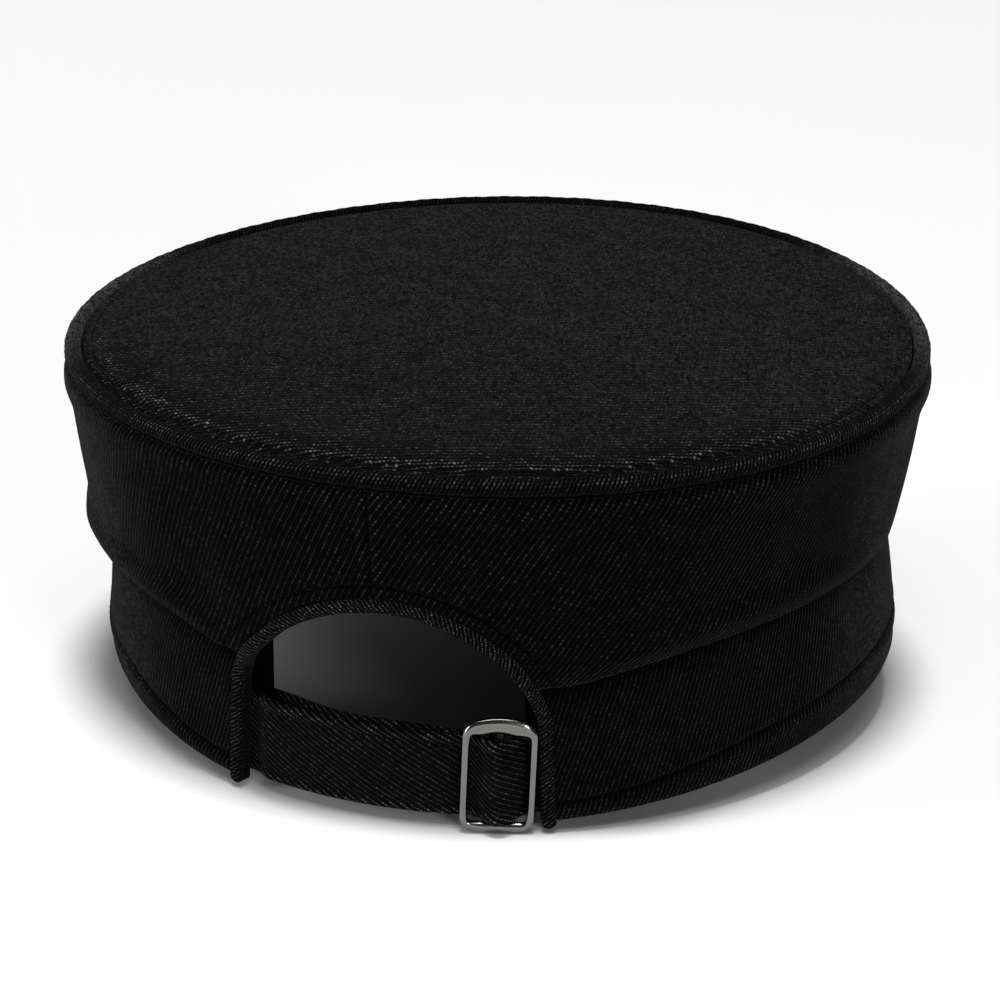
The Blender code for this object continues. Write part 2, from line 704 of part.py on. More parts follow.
def make_slider():
    """Metal slider: a bevelled frame with crowned ends and a round pin across its window."""
    window = slider_window()
    outer_height = window[1] + SLIDER_TOP_BAR + SLIDER_BOTTOM_BAR
    crowns = (SLIDER_TOP_CROWN, SLIDER_BOTTOM_CROWN)
    lift = 0.5 * (SLIDER_TOP_BAR - SLIDER_BOTTOM_BAR)
    rims = (
        slider_outline(SLIDER_WIDTH, outer_height, SLIDER_CORNER, crowns, lift),
        slider_outline(window[0], window[1], SLIDER_CORNER - SLIDER_SIDE_BAR, (0.0, 0.0), 0.0),
    )
    bm = bmesh.new()
    for depth in (0.0, SLIDER_THICKNESS):
        for rim in rims:
            for x, y in rim:
                bm.verts.new((x * MM, y * MM, depth * MM))
    bm.verts.ensure_lookup_table()
    size = len(rims[0])
    for point in range(size):
        after = (point + 1) % size
        for first, second in ((0, 1), (2, 0), (1, 3), (3, 2)):
            low = first * size
            high = second * size
            corners = (low + point, low + after, high + after, high + point)
            bm.faces.new([bm.verts[index] for index in corners])
    frame = finish(bm, "slider_buckle", dark_metal())
    bevel = frame.modifiers.new("soft_edges", "BEVEL")
    bevel.width = SLIDER_EDGE * MM
    bevel.segments = 2
    bevel.limit_method = "ANGLE"
    bevel.angle_limit = math.radians(50.0)
    pin_bm = bmesh.new()
    reach = 0.5 * window[1] + 0.5 * min(SLIDER_TOP_BAR, SLIDER_BOTTOM_BAR)
    bmesh.ops.create_cone(
        pin_bm, cap_ends=True, segments=12, radius1=SLIDER_PIN_RADIUS * MM, radius2=SLIDER_PIN_RADIUS * MM,
        depth=2 * reach * MM,
    )
    pin = finish(pin_bm, "slider_pin_tool", dark_metal())
    pin.rotation_euler = (math.radians(90.0), 0.0, 0.0)
    pin.location = (0.0, 0.0, 0.5 * SLIDER_THICKNESS * MM)
    pin.hide_render = True
    pin.display_type = "WIRE"
    pin.parent = frame
    join = frame.modifiers.new("pin", "BOOLEAN")
    join.operation = "UNION"
    join.solver = "EXACT"
    join.object = pin
    place_slider(frame)
    return frame


def place_slider(frame):
    """Set the slider upright on the strap, its face square to the hem oval."""
    out = outward(np.array(SLIDER_ANGLE))
    up = np.array([0.0, 0.0, 1.0])
    side = np.cross(up, out)
    back = GAP - STRAP_INSET
    height = strap_middle_height() + SLIDER_SLOT_PLAY - SEWN_GAP
    place = hem_ring(np.array(SLIDER_ANGLE), height, back)
    matrix = np.identity(4)
    matrix[:3, 0] = side
    matrix[:3, 1] = up
    matrix[:3, 2] = out
    matrix[:3, 3] = place * MM
    frame.matrix_basis = Matrix(matrix.tolist())


def make_peak():
    """Front peak: a crescent that slopes down from the hem all round its inner edge."""
    across = np.linspace(-1.0, 1.0, PEAK_COLUMNS + 1)
    angles = 180.0 + PEAK_HALF_ANGLE * across
    full = (1 - np.abs(across) ** PEAK_FULLNESS) ** PEAK_ROUNDING
    width = PEAK_TUCK + PEAK_END_WIDTH + (PEAK_WIDTH - PEAK_END_WIDTH) * full
    slope = math.tan(math.radians(PEAK_SLOPE_DEG))
    top = hem_height(angles) - GAP
    profile = (
        (0.0, 0.0), (0.35, 0.0), (0.7, 0.0), (0.97, 0.0), (1.0, 0.3), (1.0, 0.7), (0.97, 1.0), (0.7, 1.0),
        (0.35, 1.0), (0.0, 1.0),
    )
    loops = []
    for share, deep in profile:
        out = width * share - PEAK_TUCK
        drop = np.maximum(out, 0.0) * slope
        loops.append(hem_ring(angles, top - drop - PEAK_THICKNESS * deep, out))
    return lofted("peak", np.stack(loops, axis=1), twill(), closed=False)


def world_points(pieces):
    """Corner points of the evaluated pieces in the cap's own frame, in metres."""
    depsgraph = bpy.context.evaluated_depsgraph_get()
    parts = []
    for piece in pieces:
        evaluated = piece.evaluated_get(depsgraph)
        mesh = evaluated.to_mesh()
        points = np.empty(len(mesh.vertices) * 3, dtype=np.float32)
        mesh.vertices.foreach_get("co", points)
        matrix = np.array(evaluated.matrix_world)
        parts.append(points.reshape(-1, 3).astype(float) @ matrix[:3, :3].T + matrix[:3, 3])
        evaluated.to_mesh_clear()
    return np.concatenate(parts)


def tipped(points, tilt):
    """Points turned about the X axis."""
    cosine = math.cos(tilt)
    sine = math.sin(tilt)
    y = points[:, 1] * cosine - points[:, 2] * sine
    z = points[:, 1] * sine + points[:, 2] * cosine
    return np.stack([points[:, 0], y, z], axis=1)


def resting_tilt(points):
    """Turn about X that brings the peak's tip and the back of the cap to one level."""
    tilt = 0.0
    for _ in range(6):
        turned = tipped(points, tilt)
        front = turned[turned[:, 1] < 0]
        back = turned[turned[:, 1] > 0]
        tip = front[np.argmin(front[:, 2])]
        heel = back[np.argmin(back[:, 2])]
        tilt -= math.atan2(heel[2] - tip[2], heel[1] - tip[1])
    return tilt


def rest_on_surface(pieces):
    """Hang every piece on one empty that tips the cap on to its resting points above the origin."""
    bpy.context.view_layer.update()
    points = world_points(pieces)
    tilt = resting_tilt(points)
    turned = tipped(points, tilt)
    low = turned.min(axis=0)
    high = turned.max(axis=0)
    rest = bpy.data.objects.new("cap_rest", None)
    bpy.context.scene.collection.objects.link(rest)
    rest.rotation_euler = (tilt, 0.0, 0.0)
    rest.location = (-0.5 * (low[0] + high[0]), -0.5 * (low[1] + high[1]), -low[2])
    for piece in pieces:
        piece.parent = rest


def main():
    """Build the cap piece by piece."""
    for old in list(bpy.data.objects):
        bpy.data.objects.remove(old, do_unlink=True)
    pieces = [
        make_top(),
        make_piping(),
        make_crown_side(),
        make_headband(),
        make_binding(),
        make_lining(),
        make_sweatband(),
        make_strap(),
        make_tail(),
        make_slider(),
        make_peak(),
    ]
    rest_on_surface(pieces)


main()
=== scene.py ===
"""Looks of the baker boy cap: black twill panels with sewn seams, a satin lining and a dark nickel slider.

The pieces are worked out in the cap's own frame, in millimetres: the hem lies near the plane z = 0, the peak
points to -Y and the back opening faces +Y. Angles run round the cap in degrees from the centre back, positive
towards +X. CapForm.place then tips the cap on to its resting points and turns the lengths into metres.
"""
import json
import logging
import math
from dataclasses import dataclass, field
from enum import Enum

import bpy
import numpy as np
from mathutils import Matrix, Vector

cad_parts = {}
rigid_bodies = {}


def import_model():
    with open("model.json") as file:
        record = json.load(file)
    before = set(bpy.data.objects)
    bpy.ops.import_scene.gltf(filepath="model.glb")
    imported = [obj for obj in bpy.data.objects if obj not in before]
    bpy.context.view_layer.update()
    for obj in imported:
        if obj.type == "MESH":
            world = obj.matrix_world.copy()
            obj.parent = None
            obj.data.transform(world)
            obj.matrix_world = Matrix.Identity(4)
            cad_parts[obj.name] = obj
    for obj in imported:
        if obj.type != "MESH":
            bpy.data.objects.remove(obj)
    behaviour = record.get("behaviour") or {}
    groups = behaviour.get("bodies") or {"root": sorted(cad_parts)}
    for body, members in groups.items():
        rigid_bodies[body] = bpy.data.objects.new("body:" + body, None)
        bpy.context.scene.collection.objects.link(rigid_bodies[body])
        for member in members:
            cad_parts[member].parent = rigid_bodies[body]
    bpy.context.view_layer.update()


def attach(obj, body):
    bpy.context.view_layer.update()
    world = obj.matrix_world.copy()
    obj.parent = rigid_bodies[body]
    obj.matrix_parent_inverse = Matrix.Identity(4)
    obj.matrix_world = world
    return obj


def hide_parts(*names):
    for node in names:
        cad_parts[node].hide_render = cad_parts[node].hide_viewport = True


LOG = logging.getLogger("baker_boy_cap")
MM = 0.001
# Angle round the cap from which the photograph looks at it
SIGHT_ANGLE = -15.0
# Once round the cap in quarters of a degree
QUARTER_DEGREES = np.linspace(-180.0, 180.0, 1441)
Colour = tuple[float, float, float]
# Middle, height and width of a bell curve
Ridge = tuple[float, float, float]
# Size, waves round the cap, waves per 100 mm of height, and start in turns
Wave = tuple[float, float, float, float]
# Angle, height, width in degrees, tallness and distance out
Dent = tuple[float, float, float, float, float]
Array = np.ndarray
Pair = tuple[Array, Array]
Values = Array | float
Settings = dict[object, object]
Material = bpy.types.Material
Mesh = bpy.types.Mesh
Socket = bpy.types.NodeSocket


class Slot(Enum):
    """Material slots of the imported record."""

    TWILL = "black_twill"
    SATIN = "black_satin"
    METAL = "dark_nickel"


class Side(Enum):
    """The two legs of the back opening."""

    PLUS_X = 1
    MINUS_X = -1


def ease(value: Values, low: float, high: float) -> Array:
    """Smooth step from 0 at low to 1 at high: three squares less two cubes of the share."""
    share = np.clip((np.asarray(value, dtype=float) - low) / (high - low), 0.0, 1.0)
    return share * share * (3.0 - 2.0 * share)


def signed(angle: Values) -> Array:
    """Angles brought between -180 and 180."""
    return (np.asarray(angle, dtype=float) + 180.0) % 360.0 - 180.0


def sheen_flank(angle: Values, start: float = 50.0, full: float = 72.0) -> Array:
    """1 on the two flanks beside the line of sight, where the nap paints sheen; 0 at the back and at the
    front.
    """
    front_starts, front = 108.0, 134.0
    turn = np.abs(signed(angle - SIGHT_ANGLE))
    return ease(turn, start, full) * (1.0 - ease(turn, front_starts, front))


def bell(distance: Array, width: float) -> Array:
    """Bell curve of a distance: e to the power of minus its squared share of the width."""
    return np.exp(-((np.asarray(distance, dtype=float) / width) ** 2))


def bells(distance: Array, table: tuple[Ridge, ...]) -> Array:
    """Sum of bell curves, each row of the table giving its middle, its height and its width."""
    return sum(height * bell(distance - middle, width) for middle, height, width in table)


def quarter_round(distance: Array, radius: float) -> Array:
    """Share of the full thickness at a distance from a rounded edge: the height of a quarter circle."""
    return np.sqrt(np.clip(1 - (1 - np.minimum(distance / radius, 1.0)) ** 2, 0.0, 1.0))


def unit(vectors: Array) -> Array:
    """Vectors of length one."""
    return vectors / np.maximum(np.linalg.norm(vectors, axis=-1, keepdims=True), 1e-12)


def stack(*parts: Values) -> Array:
    """Points, places or chart rows from their coordinates, which are broadcast against each other."""
    return np.stack(np.broadcast_arrays(*parts), axis=-1)


def joined(*parts: Array, axis: int = 0) -> Array:
    """Arrays end to end."""
    return np.concatenate(parts, axis=axis)


def run_length(points: Array, axis: int = 0) -> Array:
    """Length run along a grid or line of points, starting at nought.

    Args:
        points: Points whose last axis holds the coordinates.
        axis: The axis to run along.

    Returns:
        One length for each point.
    """
    steps = np.linalg.norm(np.diff(points, axis=axis), axis=-1)
    lengths = np.cumsum(steps, axis=axis)
    first = np.zeros_like(np.take(lengths, [0], axis=axis))
    return joined(first, lengths, axis=axis)


def sampled(rows: Array, run: Array, at: Array) -> Array:
    """Points or vectors along a line at other lengths of its run, each coordinate on its own."""
    return np.stack([np.interp(at, run, column) for column in rows.T], axis=-1)


def across_length(points: Array) -> Array:
    """Length run across each column of a grid, with the way back to its start as the last value."""
    return run_length(joined(points, points[:, :1], axis=1), axis=1)


def waves(angle: Array, height: Array, table: tuple[Wave, ...]) -> Array:
    """Soft unevenness of cloth: a sum of sines.

    Args:
        angle: Angles round the cap in degrees.
        height: Heights in millimetres.
        table: Rows of size in millimetres, waves round the cap, waves per 100 mm of height, start in turns.

    Returns:
        The sum of size times the sine of each row's phase.
    """
    total = np.zeros(np.broadcast(angle, height).shape)
    for size, around, up, start in table:
        total += size * np.sin(2 * math.pi * (around * angle / 360.0 + up * height / 100.0 + start))
    return total


@dataclass(frozen=True)
class CapForm:
    """Sizes and main curves of the cap, in millimetres, the same as those of the solids."""

    hem_half_width: float = 96.0
    hem_half_length: float = 97.0
    hem_egg: float = -0.042
    hem_skew: float = -0.020
    hem_wave: float = 3.3
    hem_drop: float = 1.0
    rim_spread_side: float = 5.1
    rim_spread_front: float = 4.6
    rim_height: float = 76.1
    rim_egg: float = 0.005
    rim_skew: float = 0.008
    rim_shift: tuple[float, float] = (0.7, 0.3)
    rim_wave: float = 0.7
    rim_twist: float = 0.5
    rim_lean: float = 0.55
    rim_front_rise: float = 0.3
    fold_roll: float = 1.5
    fold_seam_in: float = 1.4
    fold_overhang_most: float = 3.4
    fold_angles: tuple[float, ...] = (
        -180, -130, -105, -90, -75, -60, -45, -35, -25, 0, 25, 32, 45, 60, 75, 95, 130,
    )
    fold_heights: tuple[float, ...] = (
        0.441, 0.461, 0.471, 0.471, 0.473, 0.479, 0.472, 0.446, 0.404, 0.392, 0.392, 0.422, 0.425, 0.412,
        0.402, 0.402, 0.422,
    )
    fold_overhangs: tuple[float, ...] = (
        0.50, 0.10, -0.40, -0.45, -0.20, 0.35, 0.85, 1.00, 1.00, 1.00, 1.00, 1.00, 0.90, 0.80,
        0.70, 0.66, 0.60,
    )
    belly_back: float = 1.0
    belly_side: float = 0.7
    crown_wall: float = 2.0
    band_wall: float = 2.4
    band_belly: float = 0.7
    band_lean: float = 2.8
    band_lean_skew: float = 0.55
    lining_wall: float = 1.0
    top_wall: float = 2.0
    gap: float = 0.35
    sewn_gap: float = 0.45
    piping_radius: float = 2.05
    piping_out: float = 1.5
    arch_half_angle: float = 22.0
    arch_shift: float = 0.4
    arch_lean: float = -1.5
    arch_lean_by: float = 0.6
    arch_spring: float = 21.3
    arch_rise: float = 26.6
    arch_fullness: tuple[float, float] = (1.5, 1.12)
    arch_leg_spread: float = 0.6
    arch_leg_reach: float = 1.5
    arch_points: int = 161
    leg_points: int = 41
    arch_near: float = 45.0
    far_away: float = 99.0
    binding_width: float = 3.2
    binding_proud: float = 0.8
    binding_lap: float = 0.5
    binding_drop: float = 1.9
    arc_share: float = 0.4
    rest_tilt: float = -0.054143
    rest_shift: tuple[float, float, float] = (-0.69986, 17.63687, 10.92792)

    def place(self, points: Array) -> Array:
        """Points of the cap's frame turned by the rest tilt, moved to their place and put into metres."""
        return (self.turn(points) + np.array(self.rest_shift)) * MM

    def turn(self, vectors: Array) -> Array:
        """Vectors of the cap's frame turned about X by the rest tilt."""
        cosine = math.cos(self.rest_tilt)
        sine = math.sin(self.rest_tilt)
        x, y, z = np.moveaxis(vectors, -1, 0)
        return stack(x, y * cosine - z * sine, y * sine + z * cosine)

    def hem_height(self, angle: Values) -> Array:
        """Height of the hem: minus its wave times the cosine of twice the angle."""
        return -self.hem_wave * np.cos(2 * np.radians(angle)) - self.hem_drop

    def hem_ring(self, angle: Array, height: Values, out: Values) -> Array:
        """Point on the hem's egg-shaped oval, moved out and set at a height."""
        t = np.radians(angle)
        x = (self.hem_half_width + out) * np.sin(t) * (1 + self.hem_egg * np.cos(t))
        y = (self.hem_half_length + out) * np.cos(t) * (1 + self.hem_skew * np.sin(t))
        return stack(x, y, height)

    def rim_ring(self, angle: Array, rise: Values, out: Values) -> Array:
        """Point on the rim oval, moved out and raised above the rim's stitch line."""
        t = np.radians(angle)
        half_width = self.hem_half_width + self.rim_spread_side
        half_length = self.hem_half_length + self.rim_spread_front
        x = (half_width + out) * np.sin(t) * (1 + self.rim_egg * np.cos(t)) + self.rim_shift[0]
        y = (half_length + out) * np.cos(t) * (1 + self.rim_skew * np.sin(t)) + self.rim_shift[1]
        wave = self.rim_wave * np.cos(2 * t) + self.rim_twist * np.sin(2 * t)
        wave = wave - self.rim_lean * np.sin(t) + self.rim_front_rise * (0.5 - 0.5 * np.cos(t)) ** 2
        return stack(x, y, self.rim_height + wave + rise)

    def around(self, values: tuple[float, ...], angle: Values) -> Array:
        """Fold-table column at any angle: a periodic cubic curve through its rows with centred slopes."""
        knots = np.array(self.fold_angles, dtype=float)
        rows = np.array(values, dtype=float)
        knots = joined(knots[-2:] - 360.0, knots, knots[:3] + 360.0)
        rows = joined(rows[-2:], rows, rows[:3])
        turned = signed(angle)
        row = np.clip(np.searchsorted(knots, turned, side="right") - 1, 1, len(knots) - 3)
        width = knots[row + 1] - knots[row]
        share = (turned - knots[row]) / width
        slope_low = (rows[row + 1] - rows[row - 1]) / (knots[row + 1] - knots[row - 1]) * width
        slope_high = (rows[row + 2] - rows[row]) / (knots[row + 2] - knots[row]) * width
        square = share * share
        cube = square * share
        low = (2 * cube - 3 * square + 1) * rows[row] + (cube - 2 * square + share) * slope_low
        return low + (3 * square - 2 * cube) * rows[row + 1] + (cube - square) * slope_high

    def fold_height(self, angle: Values) -> Array:
        """Height of the lowest line of the crown's fold."""
        return self.rim_height * self.around(self.fold_heights, angle)

    def fold_overhang(self, angle: Values) -> Array:
        """How far the fold stands out from the hem oval."""
        return self.fold_overhang_most * self.around(self.fold_overhangs, angle)

    def crown_side(self, angle: Array, share: Array, inset: Values) -> Array:
        """Crown wall: a straight mix of fold ring and rim ring, plus a belly on the root of a sine."""
        side = np.sin(np.radians(angle)) ** 2
        belly = self.belly_back + (self.belly_side - self.belly_back) * side
        belly = belly * np.sqrt(np.sin(math.pi * np.clip(share, 0.0, 1.0)))
        low = self.hem_ring(angle, self.fold_height(angle), self.fold_overhang(angle) + belly - inset)
        high = self.rim_ring(angle, 0.0, belly - inset)
        mix = np.asarray(share, dtype=float)[..., None]
        return low * (1 - mix) + high * mix

    def crown_share(self, angle: Array, height: Values) -> Array:
        """Share of the way from fold to rim at which the crown side has a height."""
        low = self.fold_height(angle)
        return (height - low) / (self.rim_ring(angle, 0.0, 0.0)[..., 2] - low)

    def crown_top_share(self) -> float:
        """Share at which the crown side ends under the corded seam."""
        return 1.0 - 2 * self.gap / (self.rim_height * (1 - max(self.fold_heights)))

    def lean_in(self, angle: Values) -> Array:
        """How far the top of the band leans in: most at the sides."""
        t = np.radians(angle)
        return self.band_lean * np.sin(t) ** 2 * (1 - self.band_lean_skew * np.sin(t))

    def fold_seam(self, angle: Values) -> Array:
        """How far inside the hem oval the fold meets the top of the band."""
        return self.fold_seam_in + self.lean_in(angle)

    def opening_edge(self, margin: float) -> Pair:
        """Edge of the back opening moved out by a margin: a full arch whose legs run on past the hem.

        Args:
            margin: Distance from the opening's edge.

        Returns:
            Falling angles and the heights that go with them, from leg to leg.
        """
        per_degree = math.radians(1.0) * self.hem_half_width
        turn = np.linspace(0.0, math.pi, self.arch_points)
        bow = np.sin(turn) ** (2.0 / np.where(turn < 0.5 * math.pi, *self.arch_fullness))
        lean = self.arch_shift + (self.arch_lean - self.arch_shift) * ease(bow, 0.0, self.arch_lean_by)
        arch = self.arch_half_angle * np.cos(turn) + lean
        fall = np.linspace(self.arch_leg_reach, 0.0, self.leg_points)[:-1]
        leg = self.arch_half_angle + self.arch_leg_spread * fall
        leg_height = self.arch_spring * (1 - fall)
        angles = joined(leg + self.arch_shift, arch, self.arch_shift - leg[::-1])
        heights = joined(leg_height, self.arch_spring + self.arch_rise * bow, leg_height[::-1])
        line = stack(angles * per_degree, heights)
        along = unit(np.gradient(line, run_length(line), axis=0))
        line = line + margin * stack(along[:, 1], -along[:, 0])
        return line[:, 0] / per_degree, line[:, 1]

    def edge_angle(self, height: Array, margin: float, side: Side) -> Array:
        """Angle of the opening's edge at a height, on one leg."""
        angles, heights = self.opening_edge(margin)
        top = int(np.argmax(heights))
        if side is Side.PLUS_X:
            return np.interp(height, heights[:top], angles[:top])
        return np.interp(height, heights[:top:-1], angles[:top:-1])

    def arch_height(self, angle: Array, margin: float) -> Array:
        """Height of the opening's edge over an angle, far below the hem beyond its legs."""
        angles, heights = self.opening_edge(margin)
        return np.interp(angle, angles[::-1], heights[::-1], left=-self.rim_height, right=-self.rim_height)

    def arch_distance(self, angle: Array, height: Array) -> Array:
        """Distance of places on the wall from the opening's edge: the least over the edge's points."""
        per_degree = math.radians(1.0) * self.hem_half_width
        edge_angle, edge_height = self.opening_edge(0.0)
        flat = stack(angle * per_degree, height).reshape(-1, 2)
        edge = stack(edge_angle * per_degree, edge_height)
        near = np.full(len(flat), self.far_away)
        close = np.abs(flat[:, 0]) < self.arch_near
        square = (flat[close] ** 2).sum(axis=1)[:, None] + (edge ** 2).sum(axis=1)[None]
        square = square - 2 * flat[close] @ edge.T
        near[close] = np.sqrt(np.maximum(square.min(axis=1), 0.0))
        return near.reshape(np.shape(angle))

    def shell_out(self, angle: Array, height: Array) -> Array:
        """How far the outer cloth stands out from the hem oval, across band and crown."""
        share = np.clip(self.crown_share(angle, height), 0.0, 1.0)
        wall = self.crown_side(angle, share, 0.0)
        base = self.hem_ring(angle, 0.0, 0.0)
        crown = np.hypot(wall[..., 0], wall[..., 1]) - np.hypot(base[..., 0], base[..., 1])
        overhang = self.fold_overhang_most
        return crown * ease(height - self.fold_height(angle), -2 * overhang, overhang)

    def binding_depth(self) -> float:
        """How far the binding reaches inside the outer cloth."""
        return max(self.crown_wall, self.band_wall) + self.binding_lap

    def outward(self, angle: Values) -> Array:
        """Level direction out from the hem oval."""
        ahead, behind = (self.hem_ring(np.asarray(angle) + turn, 0.0, 0.0) for turn in (0.5, -0.5))
        return unit(np.cross((0.0, 0.0, 1.0), ahead - behind))

    def piping_centre(self, angle: Array, rise: Values, out: Values) -> Array:
        """Point set off from the middle of the corded rim seam."""
        raised = self.piping_radius - self.gap + rise
        return self.rim_ring(angle, raised, self.piping_out - self.piping_radius + out)

    def ring_angles(self, margin: float, over_arch: int, elsewhere: int) -> Array:
        """Column angles from -180 to 180: on a sine over the arch, so dense at its legs, even elsewhere."""
        left = float(self.edge_angle(0.0, margin, Side.PLUS_X))
        right = float(self.edge_angle(0.0, margin, Side.MINUS_X))
        sweep = np.sin(np.linspace(-math.pi / 2, math.pi / 2, over_arch + 1))
        inner = 0.5 * (left + right) + 0.5 * (left - right) * sweep
        outer = np.linspace(left, right + 360.0, elsewhere + 1)[1:-1]
        return np.sort(signed(joined(inner, outer)))

    def arc(self, angle: Array) -> Array:
        """Length along the wall from the centre back: measured on the oval between hem and rim."""
        dense = np.linspace(-190.0, 190.0, 1521)
        wall = self.crown_side(dense, np.full_like(dense, self.arc_share), 0.0)
        lengths = run_length(wall * (1.0, 1.0, 0.0))
        return np.interp(angle, dense, lengths - np.interp(0.0, dense, lengths))


def new_mesh(name: str, points: Array, loops: Array, sizes: Array) -> tuple[Mesh, Array]:
    """Smooth mesh whose faces point outwards.

    The enclosed volume is the sum of triple products over a fan of each face. Where it is negative, the
    corners of every face are taken the other way round.

    Args:
        name: Name of the mesh.
        points: Its points, in metres.
        loops: Point numbers of the corners, face after face.
        sizes: How many corners each face has.

    Returns:
        The mesh and the order in which its corners were taken.
    """
    starts = joined([0], np.cumsum(sizes)[:-1])
    volume = 0.0
    for corner in (1, 2):
        kept = sizes > corner + 1
        first, second, third = (points[loops[starts[kept] + step]] for step in (0, corner, corner + 1))
        volume += float(np.einsum("ij,ij->i", first, np.cross(second, third)).sum())
    order = np.arange(len(loops))
    if volume < 0:
        order = np.repeat(2 * starts + sizes - 1, sizes) - order
    mesh = bpy.data.meshes.new(name)
    mesh.vertices.add(len(points))
    mesh.vertices.foreach_set("co", points.astype(np.float32).ravel())
    mesh.loops.add(len(loops))
    mesh.loops.foreach_set("vertex_index", loops[order].astype(np.int32))
    mesh.polygons.add(len(sizes))
    mesh.polygons.foreach_set("loop_start", starts.astype(np.int32))
    mesh.update(calc_edges=True)
    mesh.shade_smooth()
    return mesh, order


@dataclass
class Cloth:
    """A grid of points with the cloth's own lengths, its wear with painted shade and highlight, its nap with
    painted sheen, and how the grid closes.
    """

    points: Array
    chart: Array
    wear: Array
    nap: Values = 0.0
    closed_round: bool = True
    closed_across: bool = True
    capped: bool = False
    poles: bool = False

    def corners(self) -> Pair:
        """Quads of the grid.

        Returns:
            Vertex numbers and chart rows of each quad, four by four.
        """
        around, across = self.points.shape[:2]
        i, j = np.meshgrid(
            np.arange(around if self.closed_round else around - 1),
            np.arange(across if self.closed_across else across - 1), indexing="ij",
        )
        i, j = i.ravel(), j.ravel()
        ring = stack(i, i + 1, i + 1, i)
        row = stack(j, j, j + 1, j + 1)
        vertex = (ring % around) * across + row % across
        return vertex, ring * self.chart.shape[1] + row

    def ends(self) -> Pair:
        """Strips that close the open ends of a swept piece, from side to side of the section.

        Returns:
            Vertex numbers and chart rows of each quad.
        """
        around, across = self.points.shape[:2]
        i = np.arange(across // 2 - 1)
        strip = stack(i, i + 1, across - 2 - i, across - 1 - i)
        wide = self.chart.shape[1]
        vertex = joined(strip, strip[:, ::-1] + (around - 1) * across)
        return vertex, joined(strip, strip[:, ::-1] + (around - 1) * wide)

    def fans(self, columns: int, wide: int, pole: int) -> Array:
        """Triangles that close each end of the grid at a pole, as point numbers or as chart rows.

        Args:
            columns: Columns after which the numbers start again.
            wide: How many numbers a column has.
            pole: Number of the first pole; the second one follows it.

        Returns:
            The three numbers of each triangle.
        """
        i = np.arange(len(self.points))
        after = (i + 1) % columns
        first = stack(after * wide, i * wide, pole)
        return joined(first, stack(i * wide + wide - 1, after * wide + wide - 1, pole + 1))

    def mesh(self, name: str, form: CapForm) -> Mesh:
        """Mesh of the grid in its place, with its chart, its wear with painted shade and highlight, and its
        nap with painted sheen.

        Args:
            name: Name of the mesh.
            form: The cap's form, which places the points.

        Returns:
            The mesh.
        """
        around, across = self.points.shape[:2]
        points = self.points.reshape(-1, 3)
        lengths = self.chart.reshape(-1, 2)
        values = {"wear": self.wear, "nap": self.nap}
        marks = {mark: np.broadcast_to(value, (around, across)).ravel() for mark, value in values.items()}
        vertex, chart = self.corners()
        if self.capped:
            more_vertex, more_chart = self.ends()
            vertex = joined(vertex, more_vertex)
            chart = joined(chart, more_chart)
        loops, charts = vertex.ravel(), chart.ravel()
        sizes = np.full(len(vertex), 4)
        if self.poles:
            loops = joined(loops, self.fans(around, across, len(points)).ravel())
            charts = joined(charts, self.fans(*self.chart.shape[:2], len(lengths)).ravel())
            sizes = joined(sizes, np.full(2 * around, 3))
            points = joined(points, *(self.points[:, [end]].mean(axis=0) for end in (0, -1)))
            lengths = joined(lengths, *(self.chart[:, [end]].mean(axis=0) for end in (0, -1)))
            marks = {mark: joined(value, value[[0, across - 1]]) for mark, value in marks.items()}
        mesh, order = new_mesh(name, form.place(points), loops, sizes)
        layer = mesh.uv_layers.new(name="cloth_mm")
        layer.data.foreach_set("uv", lengths[charts[order]].astype(np.float32).ravel())
        for mark, value in marks.items():
            layer = mesh.attributes.new(mark, "FLOAT", "POINT")
            layer.data.foreach_set("value", value.astype(np.float32))
        return mesh


def turned(chart: Array, degrees: float) -> Array:
    """Chart turned about its origin."""
    cosine, sine = math.cos(math.radians(degrees)), math.sin(math.radians(degrees))
    u, v = np.moveaxis(chart, -1, 0)
    return stack(u * cosine - v * sine, u * sine + v * cosine)


def wrapped(columns: Array) -> Array:
    """Column angles with the first one repeated a full turn on."""
    return joined(columns, columns[:1] + 360.0)


def swept(middle: Array, normal: Array, profile: Array) -> Array:
    """Section carried along a path: middle plus across times the side plus normal times the height.

    Args:
        middle: Points of the path.
        normal: Outward direction at each point.
        profile: Section points as distances across and out, one set or one for each point of the path.

    Returns:
        Grid of points, path by section.
    """
    along = unit(np.gradient(middle, axis=0))
    across = unit(np.cross(along, normal))
    upright = np.cross(across, along)
    section = np.broadcast_to(profile, (len(middle), *np.shape(profile)[-2:]))
    return middle[:, None] + across[:, None] * section[..., :1] + upright[:, None] * section[..., 1:]


def superoval(width: float, height: float, power: float, count: int) -> Array:
    """Closed section between an oval and a box: cosine and sine raised to two over the power, sign kept."""
    turn = np.linspace(0.0, 2 * math.pi, count, endpoint=False)
    x, y = np.cos(turn), np.sin(turn)
    exponent = 2.0 / power
    return stack(
        0.5 * width * np.sign(x) * np.abs(x) ** exponent, 0.5 * height * np.sign(y) * np.abs(y) ** exponent,
    )


